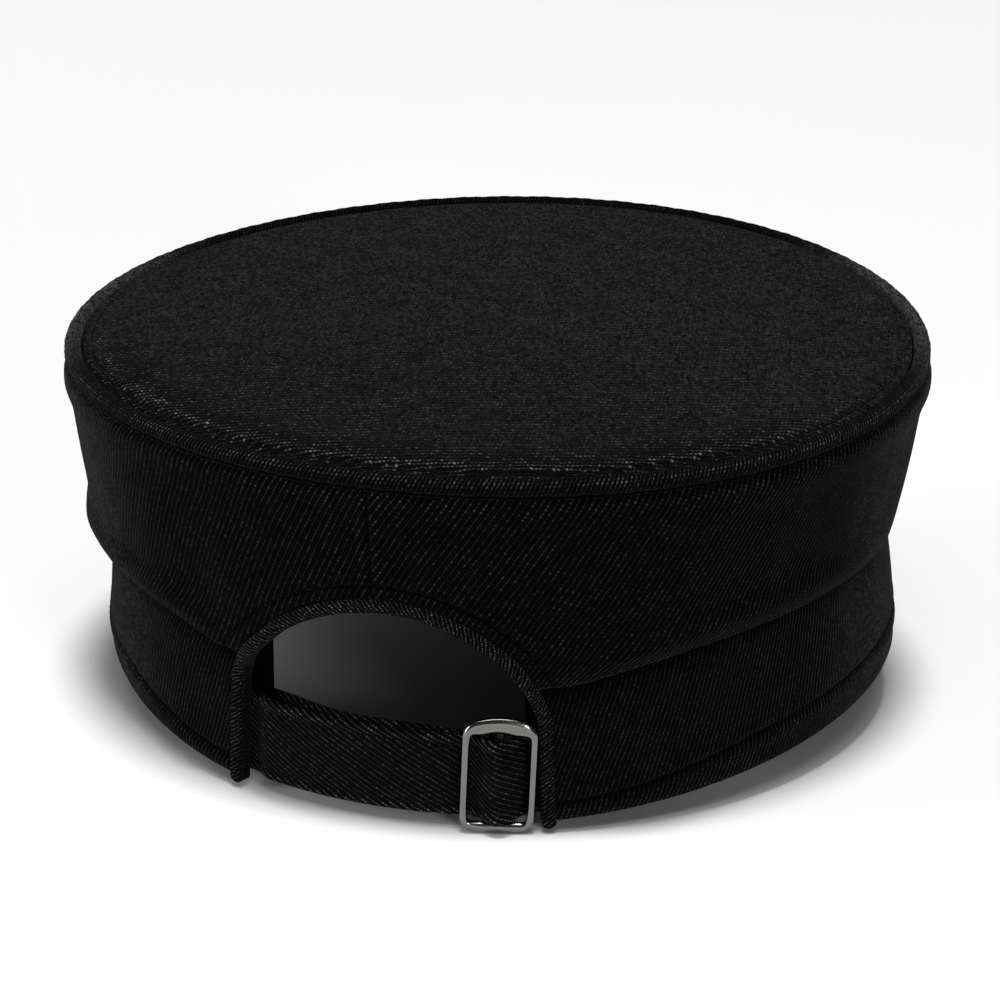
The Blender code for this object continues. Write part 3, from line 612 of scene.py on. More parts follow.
@dataclass(frozen=True)
class StitchRow:
    """A row of thread stitches along a seam: small bowed capsules."""

    pitch: float = 3.0
    length: float = 2.85
    radius: float = 0.13
    bow: float = 0.12
    sides: int = 6
    places: tuple[float, ...] = (-0.86, -0.45, 0.0, 0.45, 0.86)

    def mesh(self, name: str, line: Array, normal: Array, form: CapForm) -> Mesh:
        """Stitches at even steps along a seam.

        Each is a ring of points of radius r times the root of one less the square of the place along it,
        carried along a low arc: bow times one less that square.

        Args:
            name: Name of the mesh.
            line: Points of the seam on the cloth, in millimetres.
            normal: Outward direction at each point.
            form: The cap's form, which places the points.

        Returns:
            The mesh of the whole row.
        """
        run = run_length(line)
        count = max(int(run[-1] / self.pitch), 1)
        at = (np.arange(count) + 0.5) * run[-1] / count
        centre = sampled(line, run, at)
        up = unit(sampled(normal, run, at))
        ahead = sampled(np.gradient(line, run, axis=0), run, at)
        ahead = unit(ahead - up * np.sum(ahead * up, axis=-1, keepdims=True))
        side = np.cross(up, ahead)
        place = np.array(self.places)
        turn = np.linspace(0.0, 2 * math.pi, self.sides, endpoint=False)
        thick = self.radius * np.sqrt(1 - place ** 2)[:, None]
        out = self.bow * (1 - place ** 2)[:, None] + thick * np.sin(turn)
        over = thick * np.cos(turn)
        ring = (
            centre[:, None, None] + ahead[:, None, None] * (0.5 * self.length * place)[None, :, None, None]
            + up[:, None, None] * out[None, ..., None] + side[:, None, None] * over[None, ..., None]
        ).reshape(count, -1, 3)
        tips = centre[:, None] + ahead[:, None] * np.array([-0.5, 0.5])[None, :, None] * self.length
        points = joined(ring, tips, axis=1)
        number = np.arange(len(place) * self.sides).reshape(len(place), self.sides)
        after = np.roll(number, -1, axis=1)
        quads = stack(number[:-1], after[:-1], after[1:], number[1:]).reshape(-1, 4)
        first = stack(after[0], number[0], number.size)
        caps = joined(first, stack(number[-1], after[-1], number.size + 1))
        offset = (np.arange(count) * points.shape[1])[:, None, None]
        loops = joined((quads + offset).ravel(), (caps + offset).ravel())
        sizes = joined(np.full(count * len(quads), 4), np.full(count * len(caps), 3))
        return new_mesh(name, form.place(points.reshape(-1, 3)), loops, sizes)[0]


class Signal:
    """A number in a material: arithmetic on it adds Math nodes."""

    def __init__(self, board: "Board", socket: Socket) -> None:
        """Wrap one output socket of a board."""
        self.board = board
        self.socket = socket

    def math(self, operation: str, *others: "Signal | float", first: float | None = None) -> "Signal":
        """Math node on this number.

        Args:
            operation: Name of the operation.
            others: The numbers that follow this one.
            first: A number that goes before this one, for reflected forms.

        Returns:
            The result.
        """
        values = [self, *others] if first is None else [first, self]
        return self.board.signal("ShaderNodeMath", {"operation": operation}, dict(enumerate(values)))

    def __add__(self, other: "Signal | float") -> "Signal":
        """Sum."""
        return self.math("ADD", other)

    __radd__ = __add__

    def __mul__(self, other: "Signal | float") -> "Signal":
        """Product."""
        return self.math("MULTIPLY", other)

    __rmul__ = __mul__

    def __sub__(self, other: "Signal | float") -> "Signal":
        """Difference."""
        return self.math("SUBTRACT", other)

    def __rsub__(self, other: float) -> "Signal":
        """A number less this one."""
        return self.math("SUBTRACT", first=other)

    def __truediv__(self, other: "Signal | float") -> "Signal":
        """Quotient."""
        return self.math("DIVIDE", other)

    def __pow__(self, other: float) -> "Signal":
        """Power."""
        return self.math("POWER", other)

    def __abs__(self) -> "Signal":
        """Size without sign."""
        return self.math("ABSOLUTE")

    def floor(self) -> "Signal":
        """Whole number below."""
        return self.math("FLOOR")

    def above(self, least: float) -> "Signal":
        """The greater of this and a number."""
        return self.math("MAXIMUM", least)

    def smooth(self, low: float, high: float) -> "Signal":
        """Smooth step from 0 at low to 1 at high."""
        return self.board.signal(
            "ShaderNodeMapRange", {"interpolation_type": "SMOOTHSTEP"},
            {"Value": self, "From Min": low, "From Max": high},
        )


class Board:
    """The node tree of one material, with its Principled shader."""

    def __init__(self, name: str) -> None:
        """Start a material that holds only a shader and its output."""
        self.material = bpy.data.materials.new(name)
        self.material.use_nodes = True
        self.tree = self.material.node_tree
        self.tree.nodes.clear()
        output = self.tree.nodes.new("ShaderNodeOutputMaterial")
        self.shader = self.tree.nodes.new("ShaderNodeBsdfPrincipled")
        self.tree.links.new(self.shader.outputs["BSDF"], output.inputs["Surface"])

    def node(self, kind: str, settings: Settings, inputs: Settings) -> bpy.types.Node:
        """One node, its settings first, then its sockets.

        Args:
            kind: Type of the node.
            settings: Properties of the node.
            inputs: Values or links, by name or number of the socket.

        Returns:
            The node.
        """
        made = self.tree.nodes.new(kind)
        for key, value in settings.items():
            setattr(made, key, value)
        for key, value in inputs.items():
            self.feed(made.inputs[key], value)
        return made

    def feed(self, socket: Socket, value: object) -> None:
        """Link or set one input socket."""
        if isinstance(value, Signal):
            value = value.socket
        if isinstance(value, Socket):
            self.tree.links.new(value, socket)
        elif isinstance(value, tuple) and len(value) == 3 and socket.type == "RGBA":
            socket.default_value = (*value, 1.0)
        else:
            socket.default_value = value

    def signal(self, kind: str, settings: Settings, inputs: Settings, output: object = 0) -> Signal:
        """A number from one node's output."""
        return Signal(self, self.node(kind, settings, inputs).outputs[output])

    def mix(self, factor: Signal, first: object, second: object) -> Socket:
        """Colour between two colours."""
        made = self.node("ShaderNodeMix", {"data_type": "RGBA"}, {0: factor, 6: first, 7: second})
        return made.outputs[2]

    def noise(self, place: Socket, scale: float, detail: float, distortion: float = 0.0) -> Signal:
        """Fractal noise about one half."""
        return self.signal(
            "ShaderNodeTexNoise", {"noise_dimensions": "3D"},
            {"Vector": place, "Scale": scale, "Detail": detail, "Distortion": distortion},
        )

    def stretched(self, place: Socket, factors: tuple[float, float, float]) -> Socket:
        """Place multiplied by a factor along each axis."""
        settings = {"operation": "MULTIPLY"}
        return self.node("ShaderNodeVectorMath", settings, {0: place, 1: factors}).outputs[0]

    def cloth_place(self) -> Socket:
        """Place on the cloth in millimetres, from the piece's own chart."""
        return self.node("ShaderNodeUVMap", {"uv_map": "cloth_mm"}, {}).outputs[0]

    def object_place(self) -> Socket:
        """Place on the object in metres."""
        return self.node("ShaderNodeTexCoord", {}, {}).outputs["Object"]

    def mark(self, name: str) -> Signal:
        """The piece's own mark at each point: its wear, which also carries painted shade and highlight, or
        its nap, which also carries painted sheen.
        """
        return self.signal("ShaderNodeAttribute", {"attribute_name": name}, {}, "Fac")

    def bump(self, height: Signal, depth: float) -> Socket:
        """Normal from a height of nought to one and its depth in metres."""
        return self.node("ShaderNodeBump", {}, {"Distance": depth, "Height": height}).outputs[0]

    def finish(self, colour: object, roughness: object, normal: object, constants: Settings) -> Material:
        """Feed the shader and hand the material over."""
        for name, value in (("Base Color", colour), ("Roughness", roughness), ("Normal", normal)):
            self.feed(self.shader.inputs[name], value)
        for name, value in constants.items():
            self.shader.inputs[name].default_value = value
        return self.material


@dataclass(frozen=True)
class Twill:
    """Black cotton twill: slanting wales, each a thin pale line of short floats, on a dark ground."""

    name: str
    lean: float = -57.0
    wale: float = 1.35
    float_length: float = 0.95
    depth: float = 0.00024
    waver: float = 1.1
    jitter: float = 0.2
    ground: Colour = (0.0004, 0.0004, 0.00045)
    thread: Colour = (0.0092, 0.0093, 0.0096)
    pale: Colour = (0.16, 0.16, 0.163)
    fleck: float = 0.11
    haze: float = 0.03
    worn: float = 0.35
    # Paler colour of the nap's curled fibres, which also paints sheen
    fibre: Colour = (0.045, 0.045, 0.0455)
    brushed: tuple[float, float, float] = (0.5, 1.0, 1.0)
    roughness: float = 0.85
    sheen: float = 0.022

    def make(self) -> Material:
        """Material whose weave follows the piece's chart.

        The place across the wales is the chart turned by the lean and divided by the wale. What is left over
        its whole number gives the section of one wale, a narrow round ridge between wide dark gaps. The place
        along them is divided by the float and set on by two fifths from wale to wale, and each float has its
        own brightness. Wear below nought paints shade into creases and stitch grooves; wear above it adds
        pale rubbed dots, which on the corded rim are also a painted highlight. The nap turns the weave into
        paler curled fibres, which also paint sheen where the cloth turns away from the view.
        """
        board = Board(self.name)
        place = board.cloth_place()
        split = board.node("ShaderNodeSeparateXYZ", {}, {0: place})
        u, v = Signal(board, split.outputs[0]), Signal(board, split.outputs[1])
        drift = board.noise(place, 0.055, 2.0) - 0.5
        jitter = board.noise(place, 0.7, 2.0) - 0.5
        cosine, sine = math.cos(math.radians(self.lean)), math.sin(math.radians(self.lean))
        across = (u * sine - v * cosine) / self.wale + drift * self.waver + jitter * self.jitter
        along = (u * cosine + v * sine) / self.float_length + jitter * 0.5
        wale = across.floor()
        side = across - wale - 0.5
        stepped = along + wale * 0.4
        pick = stepped.floor()
        way = stepped - pick - 0.5
        cell = board.node("ShaderNodeCombineXYZ", {}, {0: wale, 1: pick}).outputs[0]
        flat_noise = {"noise_dimensions": "2D"}
        chance = board.signal("ShaderNodeTexWhiteNoise", flat_noise, {"Vector": cell}, "Value")
        ridge = (1.0 - (side * 5.0) ** 2.0).above(0.0)
        between = (1.0 - ((abs(side) - 0.5) * 7.0) ** 2.0).above(0.0) * 0.22
        float_form = (1.0 - (way * 1.9) ** 2.0).above(0.0)
        dot = (1.0 - (side * 4.0) ** 2.0 - (way * 2.6) ** 2.0).above(0.0)
        patches = board.noise(place, 0.13, 3.0)
        fibres = board.noise(place, 2.4, 3.0, 1.8).smooth(0.55, 0.75)
        worn = board.mark("wear")
        # Painted shade: the colours darken where the wear mark falls below nought, in creases and stitch
        # grooves
        painted_shade_factor = (1.0 + worn).smooth(0.0, 1.0)
        line = ridge * (0.3 + 0.7 * float_form) * (0.5 + 0.8 * chance) + between
        line = line * (0.4 + patches * 1.2) * painted_shade_factor
        fleck = dot * chance ** 5.0 * self.fleck * (patches * 1.6 + 0.2) * painted_shade_factor
        haze = fibres * self.haze * (patches * 1.8 + 0.1) * painted_shade_factor
        # Pale rubbed dots where the mark is above nought: wear, and on the corded rim also a painted
        # highlight
        rubbed = worn.above(0.0) * self.worn * (dot * (chance ** 2.0 * 0.9 + 0.1) + ridge * 0.04)
        woven = board.mix(fleck + haze + rubbed, board.mix(line, self.ground, self.thread), self.pale)
        # Painted sheen: the nap's paler curled fibres stand for the sheen where the cloth turns away from the
        # view, as well as its fuzz
        nap_sheen_share = board.mark("nap")
        lie = board.stretched(place, self.brushed)
        curls = self.curls(board, lie, 0.8) + self.curls(board, lie, 1.5) * 0.7
        mottle = board.noise(lie, 0.9, 4.0).smooth(0.3, 0.75)
        fluff = (curls * 1.9 + mottle * (patches * 0.8 - 0.05) + line * 0.3 + fleck * 4.0) * painted_shade_factor
        colour = board.mix(nap_sheen_share, woven, board.mix(fluff, self.ground, self.fibre))
        height = ridge * (0.6 + 0.4 * float_form) * (1.0 - nap_sheen_share * 0.8)
        height = height + fibres * 0.1 + curls * nap_sheen_share * 0.5
        return board.finish(colour, self.roughness - 0.1 * ridge, board.bump(height, self.depth), {
            "Specular IOR Level": 0.005, "Sheen Weight": self.sheen, "Sheen Roughness": 0.4,
            "Sheen Tint": (0.95, 0.97, 1.0, 1.0),
        })

    @staticmethod
    def curls(board: Board, place: Socket, scale: float) -> Signal:
        """Short curled fibres: thin lines where a twisted noise passes one half, broken by another noise."""
        twisted = board.noise(place, scale, 1.5, 1.2)
        broken = board.noise(place, scale * 1.3, 1.0).smooth(0.48, 0.62)
        return (1.0 - abs(twisted - 0.5) * 30.0).above(0.0) * broken


@dataclass(frozen=True)
class Satin:
    """Smooth black satin with fine crosswise threads."""

    name: str
    low: Colour = (0.010, 0.0098, 0.0092)
    high: Colour = (0.022, 0.021, 0.0195)
    roughness: float = 0.46
    gloss: float = 0.45
    depth: float = 0.00003

    def make(self) -> Material:
        """Material: fine threads from a stretched noise on the chart, with soft patches."""
        board = Board(self.name)
        place = board.cloth_place()
        threads = board.noise(board.stretched(place, (0.35, 3.2, 1.0)), 1.4, 3.0)
        grain = board.noise(place, 3.1, 2.0)
        patches = board.noise(place, 0.07, 3.0)
        worn = board.mark("wear")
        shade = threads * 0.5 + grain * 0.3 + patches * 0.4 - 0.15 + worn * 0.2
        colour = board.mix(shade, self.low, self.high)
        rough = self.roughness + (threads - 0.5) * 0.22 + (patches - 0.5) * 0.12
        return board.finish(colour, rough, board.bump(threads * 0.7 + grain * 0.3, self.depth), {
            "Specular IOR Level": self.gloss,
        })


@dataclass(frozen=True)
class DarkNickel:
    """Dark nickel plating with fine rub marks and paler worn edges."""

    name: str
    plated: Colour = (0.155, 0.15, 0.143)
    rubbed: Colour = (0.52, 0.50, 0.47)
    roughness: float = 0.17

    def make(self) -> Material:
        """Material: rub marks from a stretched noise, and small clouds in the plating."""
        board = Board(self.name)
        place = board.object_place()
        marks = board.noise(board.stretched(place, (900.0, 900.0, 5200.0)), 1.0, 4.0)
        clouds = board.noise(place, 260.0, 3.0)
        worn = board.mark("wear")
        bare = worn * 0.5 + marks.smooth(0.62, 0.75) * 0.25 + clouds * 0.15
        colour = board.mix(bare, self.plated, self.rubbed)
        rough = self.roughness + (marks - 0.5) * 0.10 + (clouds - 0.5) * 0.08
        return board.finish(colour, rough, board.bump(marks, 0.000006), {"Metallic": 1.0})


@dataclass(frozen=True)
class Thread:
    """Black sewing thread with a faint twist and a slight gloss."""

    name: str
    dark: Colour = (0.002, 0.002, 0.0021)
    lit: Colour = (0.012, 0.012, 0.0125)
    roughness: float = 0.7

    def make(self) -> Material:
        """Material: a fine noise on the object stands for the plies of the thread."""
        board = Board(self.name)
        place = board.object_place()
        plies = board.noise(place, 5200.0, 2.0)
        tone = board.noise(place, 420.0, 2.0)
        colour = board.mix((plies * tone * 1.6).smooth(0.2, 0.75), self.dark, self.lit)
        return board.finish(colour, self.roughness + (plies - 0.5) * 0.2, board.bump(plies, 0.00004), {
            "Specular IOR Level": 0.05,
        })


def made(finish: type, name: str, **settings: object) -> Material:
    """Field that holds a finish, which is made with its settings when the wardrobe is filled."""
    return field(default_factory=lambda: finish(name, **settings).make())


@dataclass
class Wardrobe:
    """The finishes, each made once."""

    crown: Material = made(Twill, "twill_crown")
    top: Material = made(
        Twill, "twill_top", lean=4.0, wale=1.65, jitter=0.9, brushed=(1.0, 0.36, 1.0),
        thread=(0.0142, 0.0144, 0.0147), haze=0.05, fleck=0.5, worn=1.7, sheen=0.018,
        fibre=(0.0285, 0.0285, 0.0289),
    )
    band: Material = made(
        Twill, "twill_band", lean=-70.0, wale=1.2, float_length=0.85, thread=(0.0135, 0.0136, 0.014),
    )
    piping: Material = made(
        Twill, "twill_piping", lean=-66.0, wale=0.9, jitter=0.8, float_length=1.05, worn=0.8,
        fibre=(0.11, 0.11, 0.112),
    )
    binding: Material = made(
        Twill, "twill_binding", lean=52.0, wale=0.85, jitter=1.2, float_length=0.6, worn=0.75,
    )
    strap: Material = made(
        Twill, "twill_strap", lean=29.5, wale=1.17, float_length=0.8, thread=(0.022, 0.022, 0.0225),
        fleck=0.25, worn=0.8,
    )
    peak: Material = made(Twill, "twill_peak", lean=35.0)
    satin: Material = made(Satin, "satin_lining")
    # Much darker and duller copy of the lining's satin: the band's own black, darkened further as painted
    # shade inside the opening
    sweatband: Material = made(
        Satin, "satin_sweatband", low=(0.0004, 0.0004, 0.0004), high=(0.0014, 0.0014, 0.0013),
        roughness=0.9, gloss=0.02,
    )
    nickel: Material = made(DarkNickel, "nickel_slider")
    # Near black: painted shade on the slider's pin, which sits in the shade behind the strap
    pin_shade_nickel: Material = made(
        DarkNickel, "nickel_pin", plated=(0.02, 0.02, 0.02), rubbed=(0.05, 0.05, 0.05), roughness=0.5,
    )
    thread: Material = made(Thread, "thread_black")


@dataclass
class Workshop:
    """What every sub-assembly needs: the cap's form and its finishes."""

    form: CapForm
    finishes: Wardrobe

    def piece(self, name: str, mesh: Mesh, finish: Material, slot: Slot, *nodes: str) -> None:
        """Put a mesh into the scene as a piece that rides on the cap.

        Args:
            name: Name of the piece.
            mesh: Its mesh.
            finish: Its material.
            slot: The record's slot; not used.
            nodes: CAD nodes that it stands for.
        """
        mesh.materials.append(finish)
        piece = bpy.data.objects.new(name, mesh)
        bpy.context.scene.collection.objects.link(piece)
        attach(piece, "root")
        if nodes:
            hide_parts(*nodes)

    def cloth(self, name: str, cloth: Cloth, finish: Material, slot: Slot, *nodes: str) -> None:
        """Add a piece from a grid of points."""
        self.piece(name, cloth.mesh(name, self.form), finish, slot, *nodes)

    def stitches(self, name: str, line: Array, normal: Array, row: StitchRow = StitchRow()) -> None:
        """Add a row of thread stitches along a seam."""
        self.piece(name, row.mesh(name, line, normal, self.form), self.finishes.thread, Slot.TWILL)


@dataclass(frozen=True)
class TopPanel:
    """Oval top panel with a puffed shoulder inside its stitch line and a slight dome."""

    columns: int = 720
    edge_drop: float = 1.1
    shoulder_rise: float = 0.9
    shoulder_width: float = 5.0
    dome_rise: float = 1.8
    flat_radius: float = 14.0
    stitch_in: float = 2.1
    groove: float = 0.5
    edge_zone: float = 7.0
    edge_rows: int = 25
    inner_rows: int = 41
    hole: float = 2.0
    below: tuple[float, ...] = (0.0, 6.0, 30.0, 60.0)
    weave_turn: float = -15.0
    unevenness: tuple[Wave, ...] = (
        (0.22, 3.0, 0.0, 0.10), (0.16, 5.0, 0.0, 0.55), (0.08, 11.0, 0.0, 0.3),
    )

    def reach(self, form: CapForm) -> float:
        """Distance from the edge of the panel to its middle."""
        outer = form.hem_half_width + form.rim_spread_side + form.piping_out
        return outer - 2 * form.piping_radius - form.gap

    def surface(self, form: CapForm, angle: Array, inward: Array, drop: float) -> Array:
        """Point of the panel at a distance in from its edge.

        The edge ring is mixed towards the middle point. A quarter sine lifts the shoulder, another the dome.

        Args:
            form: The cap's form.
            angle: Angles round the cap.
            inward: Distances in from the edge.
            drop: How far below the upper skin.

        Returns:
            The points.
        """
        edge = form.piping_centre(angle, form.piping_radius - self.edge_drop, -form.piping_radius - form.gap)
        centre_height = form.rim_height + 2 * form.piping_radius - form.gap - self.edge_drop
        middle = np.array([*form.rim_shift, centre_height])
        share = inward / self.reach(form)
        points = edge + (middle - edge) * share[..., None]
        flat_share = 1 - self.flat_radius / self.reach(form)
        points[..., 2] += (centre_height - points[..., 2]) * ease(share, 0.0, flat_share)
        shoulder = self.shoulder_rise * np.sin(0.5 * math.pi * np.minimum(inward / self.shoulder_width, 1.0))
        dome = self.dome_rise * np.sin(0.5 * math.pi * np.minimum(share / flat_share, 1.0))
        points[..., 2] += shoulder + dome - drop
        return points

    def relief(self, angle: Array, inward: Array) -> Array:
        """Stitch groove with small puckers beside it, and unevenness that fades to the edge and middle."""
        near = 0.3 + 0.7 * ease(np.cos(np.radians(angle)), -0.3, 0.3)
        groove = -self.groove * near * bell(inward - self.stitch_in, 0.55)
        pucker = 0.07 * np.sin(np.radians(angle) * 250) * bell(inward - self.stitch_in - 1.6, 1.4)
        soft = waves(angle, inward, self.unevenness) * ease(inward, 4.0, 26.0)
        return groove + pucker + soft * (1 - ease(inward, 55.0, 92.0))

    def build(self, shop: Workshop) -> None:
        """Make the panel and its row of stitches."""
        form = shop.form
        angles = np.linspace(-180.0, 180.0, self.columns, endpoint=False)[:, None]
        reach = self.reach(form)
        near = np.linspace(0.0, self.edge_zone, self.edge_rows)
        share = np.linspace(0.0, 1.0, self.inner_rows)[1:] ** 1.2
        far = self.edge_zone + (reach - (self.edge_zone + self.hole)) * share
        inward = joined(near, far)
        upper = self.surface(form, angles, inward[None], 0.0)
        upper[..., 2] += self.relief(angles, inward[None])
        below = np.array([*self.below, reach - self.hole])
        lower = self.surface(form, angles, below[None], form.top_wall)
        points = joined(upper[:, ::-1], lower, axis=1)
        chart = joined(points, points[:1])[..., :2]
        wear = joined(0.5 * bell(inward - 4.4, 1.6)[::-1], np.zeros(len(below)))[None]
        # Nap everywhere but near the back edge: curled fibres, whose paler colour also paints the top lighter
        # towards the front, a painted sheen
        near_back = ease(np.cos(np.radians(angles)), 0.15, 0.75)
        near_edge = (1.0 - ease(inward, self.edge_zone, 16.0))[::-1]
        woven = 0.35 * ease(upper[:, ::-1, 1], -10.0, 60.0) + near_edge * 0.65
        nap = joined(1.0 - near_back * woven, np.zeros((self.columns, len(below))), axis=1)
        cloth = Cloth(points, turned(chart, self.weave_turn), wear, nap, closed_across=False, poles=True)
        shop.cloth("top_panel", cloth, shop.finishes.top, Slot.TWILL, "crown_top")
        inward = np.full_like(QUARTER_DEGREES, self.stitch_in)
        line = self.surface(form, QUARTER_DEGREES, inward, 0.0)
        line[:, 2] -= self.groove - 0.12
        shop.stitches("top_stitches", line, np.broadcast_to((0.0, 0.0, 1.0), line.shape))


@dataclass(frozen=True)
class CordedRim:
    """Corded seam round the rim: cloth pulled over a cord, slightly uneven."""

    columns: int = 1080
    around_cord: int = 28
    seam_turn: float = -110.0
    rubbed_highlight_turn: float = 38.0
    rubbed_highlight_width: float = 26.0
    seam_radius: float = 102.0
    seam_rise: float = 0.35
    # Strength of the nap on the flanks, which paints sheen there as well as fuzz
    brushed: float = 0.85
    sheen_nap_angles: tuple[float, float] = (66.0, 92.0)

    def build(self, shop: Workshop) -> None:
        """Make the corded seam: a ring whose section is a circle, made uneven by two sines round the cap."""
        form = shop.form
        angles = np.linspace(-180.0, 180.0, self.columns, endpoint=False)[:, None]
        start = math.radians(self.seam_turn)
        turn = start + np.linspace(0.0, 2 * math.pi, self.around_cord, endpoint=False)[None]
        phase = np.radians(angles)
        uneven = 0.05 * np.sin(phase * 170 + turn) + 0.05 * np.sin(phase * 61 + 1.7) - 0.05
        radius = form.piping_radius + uneven
        points = form.piping_centre(angles, radius * np.sin(turn), radius * np.cos(turn))
        seam = bell(phase * self.seam_radius - 0.9, 0.5) * self.seam_rise
        points[..., 2] -= seam * np.sin(turn)
        along = form.arc(wrapped(angles[:, 0]))[:, None]
        # Wear rubbed along the cord's upper outer face, lighter there also as a painted highlight where the
        # light from above falls
        middle = math.radians(self.rubbed_highlight_turn)
        section = form.piping_radius * np.linspace(0.0, 2 * math.pi, self.around_cord + 1)[None]
        wear = bell(turn - middle, math.radians(self.rubbed_highlight_width))
        wear = wear * (0.75 + 0.25 * np.sin(phase * 23 + 1.0))
        # Painted sheen: nap with pale fibres on the flanks beside the line of sight
        nap = self.brushed * sheen_flank(angles, *self.sheen_nap_angles)
        cloth = Cloth(points, stack(along, section), wear, nap)
        shop.cloth("corded_rim", cloth, shop.finishes.piping, Slot.TWILL, "crown_piping")


@dataclass(frozen=True)
class CrownSide:
    """Flared side of the crown: two panels that meet at the centre back and roll under at the fold."""

    over_arch: int = 190
    elsewhere: int = 560
    wall_rows: int = 72
    roll_rows: int = 9
    binding_gap: float = 0.15
    seam_angle_low: float = 0.1
    seam_angle_high: float = 0.65
    arch_stitch: float = 6.3
    left_turn: float = 7.0
    seam_columns: int = 16
    seam_step: float = 0.13
    inner_steps: tuple[float, ...] = (0.0, 0.1, 0.2, 0.4, 0.6, 0.8, 1.0)
    puff: float = 1.8
    fold_puff: float = 2.0
    flank_spread: float = 0.07
    seam_radius: float = 100.0
    cut_roll: float = 0.35
    # Strength of the nap on the flanks, which paints sheen there as well as fuzz
    brushed: float = 0.9
    seam_profile: tuple[Ridge, ...] = ((0.0, -1.0, 0.42), (1.4, 0.3, 0.9))
    arch_profile: tuple[Ridge, ...] = ((0.0, -0.6, 0.42), (-1.7, 0.26, 0.9), (1.8, 0.12, 1.1))
    rim_profile: tuple[Ridge, ...] = ((0.9, -0.45, 0.6), (3.0, 0.2, 1.3))
    unevenness: tuple[Wave, ...] = (
        (0.40, 4.0, 0.5, 0.12), (0.28, 7.0, 1.1, 0.40), (0.16, 13.0, 1.6, 0.75), (0.07, 29.0, 2.5, 0.20),
    )
    dents: tuple[Dent, ...] = (
        (27.0, 44.0, 4.0, 12.0, -0.9), (36.0, 50.0, 5.0, 14.0, 0.5), (-29.0, 41.0, 5.0, 8.0, -0.9),
        (-40.0, 48.0, 7.0, 11.0, 0.5), (-62.0, 52.0, 7.0, 14.0, -0.4), (58.0, 50.0, 6.0, 12.0, -0.5),
        (12.0, 62.0, 7.0, 9.0, 0.3), (-14.0, 62.0, 6.0, 9.0, -0.25),
    )

    def seam_angle(self, height: Array) -> Array:
        """Angle of the centre back seam, which runs slightly aslant."""
        share = (height - 48.0) / 27.0
        return self.seam_angle_low + (self.seam_angle_high - self.seam_angle_low) * share

    def from_seam(self, angle: Array, height: Array) -> Array:
        """Distance from the centre back seam."""
        return np.abs((angle - self.seam_angle(height)) * math.radians(self.seam_radius))

    def relief(self, form: CapForm, angle: Array, height: Array) -> Array:
        """How far the cloth stands out from the plain wall.

        A groove with a soft welt on each side marks the centre back seam, another runs along the arch, a
        third lies under the corded rim, and sines and bells give the cloth its soft dents.

        Args:
            form: The cap's form.
            angle: Angles round the cap.
            height: Heights on the wall.

        Returns:
            Distances out in millimetres.
        """
        rim = form.rim_ring(angle, 0.0, 0.0)[..., 2] - height
        edge = form.arch_distance(angle, height)
        back = bells(self.from_seam(angle, height), self.seam_profile)
        arch = bells(edge - self.arch_stitch, self.arch_profile)
        under_rim = bells(rim, self.rim_profile)
        pucker = 0.05 * np.sin(np.radians(angle) * 240) * bell(rim - 3.0, 2.2)
        soft = waves(angle, height, self.unevenness)
        for at_angle, at_height, wide, tall, out in self.dents:
            soft = soft + out * bell(angle - at_angle, wide) * bell(height - at_height, tall)
        fade = ease(rim, 0.5, 9.0) * ease(edge, 4.0, 12.0)
        puff = self.puff * np.sin(np.radians(angle)) ** 2 * bell(rim - 4.8, 4.2) * ease(rim, 0.0, 3.0)
        above = height - form.fold_height(angle)
        hung = ease(np.abs(angle), 22.0, 34.0) * (1 - ease(np.abs(angle), 60.0, 95.0))
        puff = puff + self.fold_puff * hung * bell(above - 5.0, 3.6) * ease(edge, 2.0, 9.0)
        return back + arch + under_rim + pucker + puff + soft * fade

    def chart(self, form: CapForm, angles: Array, points: Array) -> Array:
        """Cloth lengths: round the cap from the centre back, and down from the rim along each column.

        The wales sweep sideways near the ends of the arch, so the length down is drawn out there, and the
        panel on the side towards +X is cut at another slant.

        Args:
            form: The cap's form.
            angles: Column angles, the first one repeated at the end.
            points: Grid of points, columns by rows.

        Returns:
            The chart, one column more and one row more than the grid.
        """
        down = across_length(points)
        down = joined(down, down[:1])
        height = joined(points, points[:1])[..., 2]
        height = joined(height, height[:, :1], axis=1)
        above = np.maximum(height - form.fold_height(angles)[:, None], 0.0)
        corner = 1.0 * bell(angles + 29.0, 9.0) + 0.5 * bell(angles - 30.0, 8.0)
        sweep = 7.0 * corner[:, None] * np.exp(-above / 4.5)
        spread = 1 + self.flank_spread * ease(-angles, 15.0, 75.0)
        chart = stack((form.arc(angles) * spread)[:, None], -down - sweep)
        left = (angles > 0.35) & (angles < 180.0)
        chart[left] = turned(chart[left], self.left_turn)
        return chart

